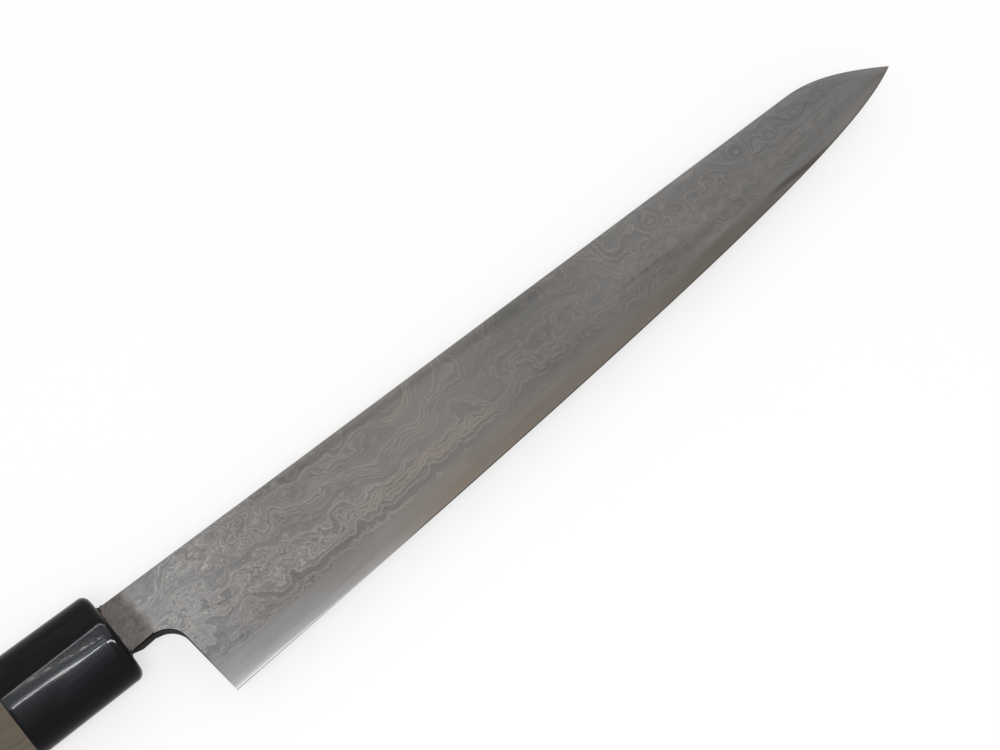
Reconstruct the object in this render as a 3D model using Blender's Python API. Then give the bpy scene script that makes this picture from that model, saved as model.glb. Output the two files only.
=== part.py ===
"""Sujihiki slicing knife with a laminated blade and a D-shaped wooden handle.

The knife lies on its left side. +X runs from the butt along the handle to the point,
+Y towards the spine, and +Z out of the blade's right face. The origin is on the butt,
on the line that the tang follows, so the blade's middle plane is z = 0.
"""
import math

import bmesh
import bpy
from mathutils import Vector

MM = 0.001

# Handle, measured along X from the butt
HANDLE_LENGTH = 140.0 * MM
FERRULE_LENGTH = 29.5 * MM
HANDLE_HEIGHT_FRONT = 24.5 * MM
HANDLE_HEIGHT_BUTT = 27.9 * MM
SIDE_RADIUS_FRONT = 8.5 * MM
SIDE_RADIUS_BUTT = 9.4 * MM
RIDGE_REACH_FRONT = 11.0 * MM
RIDGE_REACH_BUTT = 12.1 * MM
RIDGE_RADIUS = 3.8 * MM
RIDGE_BELOW_AXIS = 0.8 * MM
FERRULE_RIM_RADIUS = 2.3 * MM
BUTT_RIM_RADIUS = 1.4 * MM

# Blade outline
BLADE_LENGTH = 240.0 * MM
HEEL_GAP = 14.2 * MM
HEEL_HEIGHT = 36.6 * MM
SPINE_ABOVE_AXIS = 7.3 * MM
EDGE_HEEL_ANGLE = math.radians(3.5)
EDGE_HEEL_REACH = 155.0 * MM
EDGE_POINT_ANGLE = math.radians(25.5)
EDGE_POINT_REACH = 24.0 * MM
POINT_DROP = 10.6 * MM
SHOULDER_TO_POINT = 28.5 * MM
SHOULDER_REACH = 9.0 * MM
POINT_ANGLE = math.radians(32.0)
POINT_REACH = 12.5 * MM

# Choil, the notch between the neck and the heel
WELD_TO_HEEL = 7.0 * MM
CHOIL_RADIUS = 6.0 * MM
HEEL_FACE_LEAN = math.radians(5.0)

# Blade thickness and layers
NECK_THICKNESS = 4.0 * MM
POINT_THICKNESS = 1.5 * MM
CORE_THICKNESS_NECK = 1.5 * MM
CORE_THICKNESS_POINT = 0.6 * MM
CORE_BAND = 7.5 * MM
FLAT_HEIGHT = 14.0 * MM
GRIND_POWER = 1.25
EDGE_BEVEL_HEIGHT = 0.7 * MM
EDGE_BEVEL_THICKNESS = 0.26 * MM
SPINE_ROUND = 0.6 * MM
POINT_FADE_HEIGHT = 13.0 * MM

# Neck and tang
NECK_HEIGHT = 14.2 * MM
NECK_RISE = 0.5 * MM
TANG_LENGTH = 72.0 * MM
TANG_HEIGHT_ROOT = 8.4 * MM
TANG_HEIGHT_END = 4.6 * MM
TANG_THICKNESS_ROOT = 3.2 * MM
TANG_THICKNESS_END = 2.0 * MM
TANG_SHOULDER = 2.5 * MM
TANG_CORNER = 0.5 * MM

# Fits inside the handle
FERRULE_WALL = 8.0 * MM
SLOT_CLEARANCE = 0.7 * MM
SEAL_DEPTH = 3.0 * MM
SEAL_PROUD = 0.3 * MM
DOWEL_DIAMETER = 12.0 * MM
DOWEL_PAST_TANG = 8.0 * MM
GLUE_GAP = 0.3 * MM
TANG_CLEARANCE = 0.3 * MM

# Number of points and steps on the faceted surfaces
ARC_STEPS = 22
RIM_STEPS = 5
BLADE_STATIONS = 44
GRIND_ROWS = 6
CORNER_STEPS = 3
CHOIL_STEPS = 10
DOWEL_SIDES = 40
STATION_CROWDING = 1.5
HALVINGS = 40
ROUND_SHARE_OF_WALL = 0.8

# Places that follow from the sizes
FERRULE_BACK = HANDLE_LENGTH - FERRULE_LENGTH
HEEL_X = HANDLE_LENGTH + HEEL_GAP
WELD_X = HEEL_X - WELD_TO_HEEL
POINT_X = HEEL_X + BLADE_LENGTH
SPINE_Y = SPINE_ABOVE_AXIS
HEEL_Y = SPINE_Y - HEEL_HEIGHT
POINT_Y = SPINE_Y - POINT_DROP
TANG_END_X = HANDLE_LENGTH - TANG_LENGTH
DOWEL_FRONT_X = HANDLE_LENGTH - FERRULE_WALL - GLUE_GAP
DOWEL_END_X = TANG_END_X - DOWEL_PAST_TANG
TANG_SHOULDER_X = HANDLE_LENGTH - SEAL_DEPTH - GLUE_GAP
TANG_ROOT_X = TANG_SHOULDER_X - TANG_SHOULDER

# Control points of the edge from heel to point, and of the spine's fall to the point
EDGE_CURVE = (
    Vector((HEEL_X, HEEL_Y)),
    Vector((HEEL_X + EDGE_HEEL_REACH, HEEL_Y + EDGE_HEEL_REACH * math.tan(EDGE_HEEL_ANGLE))),
    Vector((POINT_X - EDGE_POINT_REACH * math.cos(EDGE_POINT_ANGLE),
            POINT_Y - EDGE_POINT_REACH * math.sin(EDGE_POINT_ANGLE))),
    Vector((POINT_X, POINT_Y)),
)
SHOULDER_CURVE = (
    Vector((POINT_X - SHOULDER_TO_POINT, SPINE_Y)),
    Vector((POINT_X - SHOULDER_TO_POINT + SHOULDER_REACH, SPINE_Y)),
    Vector((POINT_X - POINT_REACH * math.cos(POINT_ANGLE),
            POINT_Y + POINT_REACH * math.sin(POINT_ANGLE))),
    Vector((POINT_X, POINT_Y)),
)

PART_NAME = "sujihiki_knife"
CUTTER_NAME = "cutters"
CUT_MARGIN = 5.0 * MM
MERGE_DISTANCE = 0.01 * MM
SHARP_ANGLE = math.radians(30.0)
QUARTER_TURN = math.radians(90.0)
FULL_TURN = math.radians(360.0)


def clear_scene():
    """Remove every object and collection that a new file starts with."""
    for item in list(bpy.data.objects):
        bpy.data.objects.remove(item, do_unlink=True)
    for group in list(bpy.data.collections):
        bpy.data.collections.remove(group)


def add_collection(name):
    group = bpy.data.collections.new(name)
    bpy.context.scene.collection.children.link(group)
    return group


def add_material(name, colour, roughness, metallic):
    material = bpy.data.materials.new(name)
    material.use_nodes = True
    shader = material.node_tree.nodes["Principled BSDF"]
    shader.inputs["Base Color"].default_value = (*colour, 1.0)
    shader.inputs["Roughness"].default_value = roughness
    shader.inputs["Metallic"].default_value = metallic
    material.diffuse_color = (*colour, 1.0)
    return material


def mix(start, end, share):
    return start + (end - start) * share


def add_mesh_object(name, group, mesh, material=None):
    item = bpy.data.objects.new(name, mesh)
    group.objects.link(item)
    if material:
        mesh.materials.append(material)
    return item


def finish_bmesh(name, build):
    """Turn a bmesh into a mesh with its faces pointing out and round sides smooth."""
    bmesh.ops.recalc_face_normals(build, faces=build.faces)
    mesh = bpy.data.meshes.new(name)
    build.to_mesh(mesh)
    build.free()
    mesh.shade_smooth()
    mesh.set_sharp_from_angle(angle=SHARP_ANGLE)
    return mesh


def join_rings(build, first, second):
    """Skin two rings of as many vertices, one quad to each pair of points."""
    count = len(first)
    for step in range(count):
        after = (step + 1) % count
        build.faces.new((first[step], first[after], second[after], second[step]))


def loft_mesh(name, rings, apex=None):
    """Skin a row of rings, with a flat cap at each end or an apex at the last one."""
    build = bmesh.new()
    rows = [[build.verts.new(point) for point in ring] for ring in rings]
    for first, second in zip(rows, rows[1:]):
        join_rings(build, first, second)
    build.faces.new(rows[0])
    if apex is None:
        build.faces.new(rows[-1])
    else:
        tip = build.verts.new(apex)
        last = rows[-1]
        for step, corner in enumerate(last):
            build.faces.new((corner, last[(step + 1) % len(last)], tip))
    bmesh.ops.triangulate(build, faces=[face for face in build.faces if len(face.verts) > 4])
    return finish_bmesh(name, build)


def tube_mesh(name, outer, inner):
    """Skin a sleeve between two outer rings and two inner rings of as many points."""
    build = bmesh.new()
    rows = [[build.verts.new(point) for point in ring] for ring in (*outer, *reversed(inner))]
    for index, ring in enumerate(rows):
        join_rings(build, ring, rows[(index + 1) % len(rows)])
    return finish_bmesh(name, build)


def cut(target, cutter):
    """Take the cutter's shape out of the target with an exact Boolean."""
    tool = target.modifiers.new("cut_" + cutter.name, "BOOLEAN")
    tool.operation = "DIFFERENCE"
    tool.solver = "EXACT"
    tool.object = cutter


def hide_cutter(item):
    item.hide_render = True
    item.display_type = "WIRE"
    return item


def bezier_point(corners, share):
    """Point of a cubic Bezier curve, given its four control points."""
    left = 1.0 - share
    weights = (left ** 3, 3 * left ** 2 * share, 3 * left * share ** 2, share ** 3)
    return sum((corner * weight for corner, weight in zip(corners, weights)), Vector((0.0, 0.0)))


def bezier_height(corners, x):
    """Height of a cubic Bezier curve above a place on X, found by halving."""
    low, high = 0.0, 1.0
    for _ in range(HALVINGS):
        middle = (low + high) / 2
        if bezier_point(corners, middle).x < x:
            low = middle
        else:
            high = middle
    return bezier_point(corners, (low + high) / 2).y


def edge_height(x):
    """Height of the cutting edge, straight on behind the heel, where the blank goes on."""
    if x <= HEEL_X:
        return HEEL_Y + (x - HEEL_X) * math.tan(EDGE_HEEL_ANGLE)
    return bezier_height(EDGE_CURVE, x)


def spine_height(x):
    if x <= POINT_X - SHOULDER_TO_POINT:
        return SPINE_Y
    return bezier_height(SHOULDER_CURVE, x)


def blade_section(x):
    """Sizes of the blade's cross-section: heights on Y and half thicknesses on Z."""
    low, high = edge_height(x), spine_height(x)
    height = high - low
    along = (x - WELD_X) / (POINT_X - WELD_X)
    fade = min(1.0, height / POINT_FADE_HEIGHT)
    spine_half = fade * mix(NECK_THICKNESS, POINT_THICKNESS, along) / 2
    core_half = fade * mix(CORE_THICKNESS_NECK, CORE_THICKNESS_POINT, along) / 2
    return {
        "edge": low,
        "bevel": low + fade * EDGE_BEVEL_HEIGHT,
        "band": low + CORE_BAND * height / HEEL_HEIGHT,
        "flat": high - FLAT_HEIGHT * height / HEEL_HEIGHT,
        "spine": high,
        "bevel_half": fade * EDGE_BEVEL_THICKNESS / 2,
        "core_half": core_half,
        "spine_half": spine_half,
        "round": min(fade * SPINE_ROUND, ROUND_SHARE_OF_WALL * (spine_half - core_half)),
    }


def blade_stations():
    """Places along X of the blade's sections, closer together towards the point."""
    behind = [WELD_X, mix(WELD_X, HEEL_X, 0.5)]
    shares = [step / BLADE_STATIONS for step in range(BLADE_STATIONS)]
    return behind + [HEEL_X + BLADE_LENGTH * (1 - (1 - share) ** STATION_CROWDING) for share in shares]


def core_ring(x):
    size = blade_section(x)
    right = (
        (size["bevel"], size["bevel_half"]),
        (size["band"], size["core_half"]),
        (size["spine"], size["core_half"]),
    )
    left = [(y, -z) for y, z in reversed(right)]
    return [(x, size["edge"], 0.0)] + [(x, y, z) for y, z in (*right, *left)]


def cladding_ring(x, side):
    """Section of one cladding: ground face, flat, round at the spine and inner face."""
    size = blade_section(x)
    core, top = size["core_half"], size["spine_half"]
    points = [(size["band"], core)]
    for row in range(1, GRIND_ROWS + 1):
        share = row / GRIND_ROWS
        rise = 1 - (1 - share) ** GRIND_POWER
        points.append((mix(size["band"], size["flat"], share), mix(core, top, rise)))
    for step in range(CORNER_STEPS + 1):
        turn = QUARTER_TURN * step / CORNER_STEPS
        y = size["spine"] - size["round"] * (1 - math.sin(turn))
        z = top - size["round"] * (1 - math.cos(turn))
        points.append((y, z))
    points.append((size["spine"], core))
    return [(x, y, side * z) for y, z in points]


def neck_underside(x):
    """Height of the neck's lower face, level in the ferrule and rising to the choil."""
    bottom = SPINE_Y - NECK_HEIGHT
    rise = NECK_RISE * (x - HANDLE_LENGTH) / (WELD_X - HANDLE_LENGTH)
    return bottom + max(0.0, rise)


def fillet(before, corner, after, radius, steps):
    """Arc of the given radius that touches both lines of a corner."""
    back = (before - corner).normalized()
    ahead = (after - corner).normalized()
    half = back.angle(ahead) / 2
    centre = corner + (back + ahead).normalized() * radius / math.sin(half)
    start = corner + back * radius / math.tan(half) - centre
    end = corner + ahead * radius / math.tan(half) - centre
    sweep = start.angle_signed(end)
    points = []
    for step in range(steps + 1):
        turn = -sweep * step / steps
        cosine, sine = math.cos(turn), math.sin(turn)
        points.append(centre + Vector((start.x * cosine - start.y * sine,
                                       start.x * sine + start.y * cosine)))
    return points


def add_outline(name, group, points, half_thickness):
    """Flat outline as a filled 2D curve, thick on both sides of z = 0, made a mesh."""
    curve = bpy.data.curves.new(name, "CURVE")
    curve.dimensions = "2D"
    curve.fill_mode = "BOTH"
    curve.extrude = half_thickness
    line = curve.splines.new("POLY")
    line.points.add(len(points) - 1)
    for slot, point in zip(line.points, points):
        slot.co = (point.x, point.y, 0.0, 1.0)
    line.use_cyclic_u = True
    guide = bpy.data.objects.new(name + "_curve", curve)
    group.objects.link(guide)
    bpy.context.view_layer.update()
    shape = guide.evaluated_get(bpy.context.evaluated_depsgraph_get())
    mesh = bpy.data.meshes.new_from_object(shape)
    bpy.data.objects.remove(guide, do_unlink=True)
    build = bmesh.new()
    build.from_mesh(mesh)
    bmesh.ops.remove_doubles(build, verts=build.verts, dist=MERGE_DISTANCE)
    bmesh.ops.recalc_face_normals(build, faces=build.faces)
    build.to_mesh(mesh)
    build.free()
    return add_mesh_object(name, group, mesh)


def add_choil_cutter(group):
    """Notch that is filed out of the blank between the neck and the heel."""
    back_x = WELD_X - CUT_MARGIN
    lowest = HEEL_Y - CUT_MARGIN
    slope = NECK_RISE / (WELD_X - HANDLE_LENGTH)
    lean = math.tan(HEEL_FACE_LEAN)
    start = Vector((back_x, neck_underside(WELD_X) - slope * CUT_MARGIN))
    corner_x = (HEEL_X - lean * (start.y - slope * back_x - HEEL_Y)) / (1 + lean * slope)
    corner = Vector((corner_x, start.y + slope * (corner_x - back_x)))
    foot = Vector((HEEL_X + lean * CUT_MARGIN, lowest))
    points = [start, *fillet(start, corner, foot, CHOIL_RADIUS, CHOIL_STEPS), foot]
    points.append(Vector((back_x, lowest)))
    return hide_cutter(add_outline("choil_cutter", group, points, NECK_THICKNESS))


def rounded_ring(x, low, high, half_thickness, radius):
    """Rectangle with round corners, across X, from low to high on Y."""
    centres = (
        (high - radius, half_thickness - radius, 0),
        (low + radius, half_thickness - radius, 1),
        (low + radius, radius - half_thickness, 2),
        (high - radius, radius - half_thickness, 3),
    )
    ring = []
    for y, z, quarter in centres:
        for step in range(CORNER_STEPS + 1):
            turn = QUARTER_TURN * (quarter + step / CORNER_STEPS)
            ring.append((x, y + radius * math.cos(turn), z + radius * math.sin(turn)))
    return ring


def neck_ring(x, clearance=0.0):
    """Section of the neck, or of the slot that it goes through."""
    return rounded_ring(x, neck_underside(x) - clearance, SPINE_Y + clearance,
                        NECK_THICKNESS / 2 + clearance, TANG_CORNER)


def tang_ring(x, clearance=0.0):
    """Section of the tang behind its shoulder, narrowing towards its end."""
    share = (x - TANG_END_X) / (TANG_ROOT_X - TANG_END_X)
    height = mix(TANG_HEIGHT_END, TANG_HEIGHT_ROOT, share) / 2 + clearance
    thickness = mix(TANG_THICKNESS_END, TANG_THICKNESS_ROOT, share) / 2 + clearance
    return rounded_ring(x, -height, height, thickness, TANG_CORNER)


def add_core(group, material, choil):
    stations = blade_stations()
    mesh = loft_mesh("core_steel", [core_ring(x) for x in stations], (POINT_X, POINT_Y, 0.0))
    core = add_mesh_object("core_steel", group, mesh, material)
    cut(core, choil)
    return core


def add_cladding(name, group, material, choil, side):
    rings = [cladding_ring(x, side) for x in blade_stations()]
    mesh = loft_mesh(name, rings, (POINT_X, POINT_Y, 0.0))
    cladding = add_mesh_object(name, group, mesh, material)
    cut(cladding, choil)
    return cladding


def add_tang(group, material):
    rings = [
        tang_ring(TANG_END_X),
        tang_ring(TANG_ROOT_X),
        neck_ring(TANG_SHOULDER_X),
        neck_ring(HANDLE_LENGTH),
        neck_ring(WELD_X),
    ]
    return add_mesh_object("tang", group, loft_mesh("tang", rings), material)


def handle_circles(x):
    """Circles whose hull is the handle's section: bottom, top and ridge, as y, z, radius."""
    share = x / HANDLE_LENGTH
    height = mix(HANDLE_HEIGHT_BUTT, HANDLE_HEIGHT_FRONT, share)
    side = mix(SIDE_RADIUS_BUTT, SIDE_RADIUS_FRONT, share)
    reach = mix(RIDGE_REACH_BUTT, RIDGE_REACH_FRONT, share)
    offset = height / 2 - side
    return (
        (-offset, 0.0, side),
        (offset, 0.0, side),
        (-RIDGE_BELOW_AXIS, reach - RIDGE_RADIUS, RIDGE_RADIUS),
    )


def tangent_turn(first, second):
    """Direction, in radians, in which two circles of the section reach equally far."""
    across, up = second[0] - first[0], second[1] - first[1]
    gain = (first[2] - second[2]) / math.hypot(across, up)
    return math.atan2(up, across) - math.acos(gain)


def handle_ring(x, inset=0.0):
    """Outline of the handle's D section at x, drawn in by an inset at a rounded rim."""
    bottom, top, ridge = handle_circles(x)
    order = (bottom, top, ridge)
    turns = [tangent_turn(order[index - 1], circle) for index, circle in enumerate(order)]
    ring = []
    for index, (y, z, radius) in enumerate(order):
        sweep = (turns[(index + 1) % len(order)] - turns[index]) % FULL_TURN
        for step in range(ARC_STEPS + 1):
            turn = turns[index] + sweep * step / ARC_STEPS
            reach = radius - inset
            ring.append((x, y + reach * math.cos(turn), z + reach * math.sin(turn)))
    return ring


def rim_rings(face_x, inward, radius):
    """Rings of a quarter round, from the end face back to the full section."""
    rings = []
    for step in range(RIM_STEPS + 1):
        turn = QUARTER_TURN * step / RIM_STEPS
        x = face_x + inward * radius * (1 - math.cos(turn))
        rings.append(handle_ring(x, radius * (1 - math.sin(turn))))
    return rings


def add_ferrule(group, cutters, material):
    rings = rim_rings(HANDLE_LENGTH, -1, FERRULE_RIM_RADIUS)
    rings.append(handle_ring(FERRULE_BACK))
    ferrule = add_mesh_object("ferrule", group, loft_mesh("ferrule", rings), material)
    slot_start = HANDLE_LENGTH - FERRULE_WALL - CUT_MARGIN
    slot_rings = [neck_ring(slot_start, SLOT_CLEARANCE),
                  neck_ring(HANDLE_LENGTH, SLOT_CLEARANCE),
                  slot_end_ring(HANDLE_LENGTH + CUT_MARGIN)]
    slot = add_mesh_object("slot_cutter", cutters, loft_mesh("slot_cutter", slot_rings))
    cut(ferrule, hide_cutter(slot))
    bore_end = HANDLE_LENGTH - FERRULE_WALL
    bore = add_rod("ferrule_bore_cutter", cutters, FERRULE_BACK - CUT_MARGIN, bore_end,
                   DOWEL_DIAMETER / 2 + GLUE_GAP)
    cut(ferrule, hide_cutter(bore))
    return ferrule


def slot_end_ring(x):
    """Section of the slot ahead of the ferrule's face, straight on from that face."""
    return [(x, y, z) for _, y, z in neck_ring(HANDLE_LENGTH, SLOT_CLEARANCE)]


def add_seal(group, material):
    """Resin that fills the slot round the neck and stands a little proud of the face."""
    back, front = HANDLE_LENGTH - SEAL_DEPTH, HANDLE_LENGTH + SEAL_PROUD
    outer = [neck_ring(back, SLOT_CLEARANCE), slot_end_ring(front)]
    inner = [neck_ring(back), neck_ring(HANDLE_LENGTH), neck_ring(front)]
    return add_mesh_object("neck_seal", group, tube_mesh("neck_seal", outer, inner), material)


def add_rod(name, group, start, end, radius, material=None):
    """Round rod along X, with its own place at the middle of its length."""
    build = bmesh.new()
    bmesh.ops.create_cone(build, cap_ends=True, segments=DOWEL_SIDES,
                          radius1=radius, radius2=radius, depth=end - start)
    rod = add_mesh_object(name, group, finish_bmesh(name, build), material)
    rod.rotation_euler = (0.0, QUARTER_TURN, 0.0)
    rod.location = ((start + end) / 2, 0.0, 0.0)
    return rod


def add_dowel(group, cutters, material):
    """Pin through ferrule and grip, slotted for the tang."""
    dowel = add_rod("dowel", group, DOWEL_END_X, DOWEL_FRONT_X, DOWEL_DIAMETER / 2, material)
    rings = [tang_ring(TANG_END_X - TANG_CLEARANCE, TANG_CLEARANCE),
             tang_ring(DOWEL_FRONT_X + CUT_MARGIN, TANG_CLEARANCE)]
    slot = add_mesh_object("tang_slot_cutter", cutters, loft_mesh("tang_slot_cutter", rings))
    cut(dowel, hide_cutter(slot))
    return dowel


def add_grip(group, cutters, material):
    rings = rim_rings(0.0, 1, BUTT_RIM_RADIUS)
    rings.append(handle_ring(FERRULE_BACK))
    grip = add_mesh_object("grip", group, loft_mesh("grip", rings), material)
    bore = add_rod("grip_bore_cutter", cutters, DOWEL_END_X - GLUE_GAP,
                   FERRULE_BACK + CUT_MARGIN, DOWEL_DIAMETER / 2 + GLUE_GAP)
    cut(grip, hide_cutter(bore))
    return grip


def main():
    clear_scene()
    knife = add_collection(PART_NAME)
    cutters = add_collection(CUTTER_NAME)
    core = add_material("core_steel", (0.30, 0.28, 0.26), 0.32, 1.0)
    damascus = add_material("damascus", (0.24, 0.23, 0.22), 0.42, 1.0)
    iron = add_material("plain_iron", (0.17, 0.155, 0.145), 0.5, 1.0)
    horn = add_material("horn", (0.012, 0.012, 0.014), 0.12, 0.0)
    resin = add_material("resin", (0.03, 0.025, 0.022), 0.7, 0.0)
    ho_wood = add_material("ho_wood", (0.17, 0.14, 0.11), 0.75, 0.0)
    pin_wood = add_material("pin_wood", (0.45, 0.36, 0.24), 0.8, 0.0)
    choil = add_choil_cutter(cutters)
    add_core(knife, core, choil)
    add_cladding("cladding_right", knife, damascus, choil, 1)
    add_cladding("cladding_left", knife, damascus, choil, -1)
    add_tang(knife, iron)
    add_ferrule(knife, cutters, horn)
    add_seal(knife, resin)
    add_dowel(knife, cutters, pin_wood)
    add_grip(knife, cutters, ho_wood)


main()
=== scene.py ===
"""Looks of the sujihiki knife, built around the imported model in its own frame.

Everything is in metres. +X runs from the butt to the point, +Y towards the spine and +Z out
of the blade's right face. The knife lies on its left side on a plain pale floor.
"""

import logging
import math
from dataclasses import dataclass, field, replace
from enum import Enum
from functools import lru_cache
from typing import Callable, Sequence

import bmesh
import bpy
from bmesh.types import BMesh
from bpy.types import Material, Mesh, NodeSocket, Object
from mathutils import Matrix, Vector


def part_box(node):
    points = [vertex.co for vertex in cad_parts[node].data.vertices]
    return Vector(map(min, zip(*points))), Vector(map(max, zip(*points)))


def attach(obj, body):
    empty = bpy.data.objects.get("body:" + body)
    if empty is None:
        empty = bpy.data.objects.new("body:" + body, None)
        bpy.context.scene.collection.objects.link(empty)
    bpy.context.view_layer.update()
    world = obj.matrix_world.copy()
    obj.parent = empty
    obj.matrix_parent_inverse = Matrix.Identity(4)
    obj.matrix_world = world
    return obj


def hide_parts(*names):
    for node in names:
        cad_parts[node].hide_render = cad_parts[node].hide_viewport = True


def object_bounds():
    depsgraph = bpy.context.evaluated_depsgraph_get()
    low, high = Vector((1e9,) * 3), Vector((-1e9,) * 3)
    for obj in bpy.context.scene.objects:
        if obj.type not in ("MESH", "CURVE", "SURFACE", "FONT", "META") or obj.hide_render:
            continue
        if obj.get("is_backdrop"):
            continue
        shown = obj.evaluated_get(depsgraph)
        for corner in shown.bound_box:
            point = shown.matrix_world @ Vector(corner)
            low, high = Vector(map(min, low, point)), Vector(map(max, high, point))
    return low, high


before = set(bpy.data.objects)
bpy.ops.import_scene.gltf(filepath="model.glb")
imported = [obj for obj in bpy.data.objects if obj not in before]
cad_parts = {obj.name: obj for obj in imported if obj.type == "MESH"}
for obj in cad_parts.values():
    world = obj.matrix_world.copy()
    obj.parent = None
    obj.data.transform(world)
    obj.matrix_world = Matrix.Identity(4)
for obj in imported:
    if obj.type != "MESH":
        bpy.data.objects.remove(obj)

MM = 0.001
QUARTER_TURN = math.radians(90.0)
SHARP_CORNER = math.radians(30.0)
SHARP_RIM = math.radians(35.0)
MERGE_DISTANCE = 0.0005 * MM
CURVE_HALVINGS = 28
CROSSING_HALVINGS = 30
BLADE_MAP = "blade_place"
WALL_MAP = "notch_wall"
LOG = logging.getLogger("knife")

Colour = tuple[float, float, float]
Point = tuple[float, float, float]
Span = tuple[float, float]
Inputs = dict[str, object]
Line = Callable[[float], float]
Field = Callable[[float, float], float]

WHITE: Colour = (1.0, 1.0, 1.0)


def mix(start: "Term", end: "Term", share: "Term") -> "Term":
    """Return what lies a share of the way from start to end, of numbers or of sockets."""
    return start + (end - start) * share


class Side(Enum):
    """Side of the blade that a cladding is on."""

    RIGHT = 1
    LEFT = -1


class Value:
    """A number socket in a node tree, with the operators of ordinary numbers.

    Args:
        graph: The tree that the socket is in.
        socket: The output socket that gives the number.
    """

    def __init__(self, graph: "Graph", socket: NodeSocket) -> None:
        self.graph = graph
        self.socket = socket

    def __add__(self, other: "Term") -> "Value":
        """Return this value plus another."""
        return self.graph.maths("ADD", self, other)

    def __radd__(self, other: "Term") -> "Value":
        """Return a number plus this value."""
        return self.graph.maths("ADD", other, self)

    def __sub__(self, other: "Term") -> "Value":
        """Return this value minus another."""
        return self.graph.maths("SUBTRACT", self, other)

    def __rsub__(self, other: "Term") -> "Value":
        """Return a number minus this value."""
        return self.graph.maths("SUBTRACT", other, self)

    def __mul__(self, other: "Term") -> "Value":
        """Return this value times another."""
        return self.graph.maths("MULTIPLY", self, other)

    def __rmul__(self, other: "Term") -> "Value":
        """Return a number times this value."""
        return self.graph.maths("MULTIPLY", other, self)

    def __truediv__(self, other: "Term") -> "Value":
        """Return this value divided by another."""
        return self.graph.maths("DIVIDE", self, other)

    def __pow__(self, other: "Term") -> "Value":
        """Return this value raised to a power."""
        return self.graph.maths("POWER", self, other)

    def __neg__(self) -> "Value":
        """Return this value with its sign turned."""
        return self.graph.maths("MULTIPLY", self, -1.0)

    def sin(self) -> "Value":
        """Return the sine of this value, in radians."""
        return self.graph.maths("SINE", self)

    def cos(self) -> "Value":
        """Return the cosine of this value, in radians."""
        return self.graph.maths("COSINE", self)

    def exp(self) -> "Value":
        """Return e to the power of this value."""
        return self.graph.maths("EXPONENT", self)

    def fract(self) -> "Value":
        """Return the part of this value after the point."""
        return self.graph.maths("FRACT", self)

    def size(self) -> "Value":
        """Return this value without its sign."""
        return self.graph.maths("ABSOLUTE", self)

    def least(self, other: "Term") -> "Value":
        """Return the smaller of two values."""
        return self.graph.maths("MINIMUM", self, other)

    def most(self, other: "Term") -> "Value":
        """Return the larger of two values."""
        return self.graph.maths("MAXIMUM", self, other)

    def ease(self, low: "Term", high: "Term") -> "Value":
        """Return 0 below low and 1 above high, with a smooth rise between them.

        Args:
            low: Where the rise starts.
            high: Where the rise ends.

        Returns:
            The eased value, from 0 to 1.
        """
        settings = {"interpolation_type": "SMOOTHSTEP"}
        inputs = {"Value": self, "From Min": low, "From Max": high}
        return self.graph.number("ShaderNodeMapRange", settings, inputs, "Result")

    def fall(self, low: "Term", high: "Term") -> "Value":
        """Return 1 below low and 0 above high, with a smooth fall between them."""
        return 1.0 - self.ease(low, high)

    def near(self, centre: float, inner: float, outer: float) -> "Value":
        """Return 1 within the inner distance of a centre and 0 beyond the outer one."""
        return (self - centre).size().fall(inner, outer)

    def within(self, rise: Span, fall: Span) -> "Value":
        """Return 1 between a rise and a fall, and 0 before the one and after the other."""
        return self.ease(*rise) * self.fall(*fall)


Term = Value | float
Spot = tuple[Value, Value]
Circle = tuple[Value, Value, Value]


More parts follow.
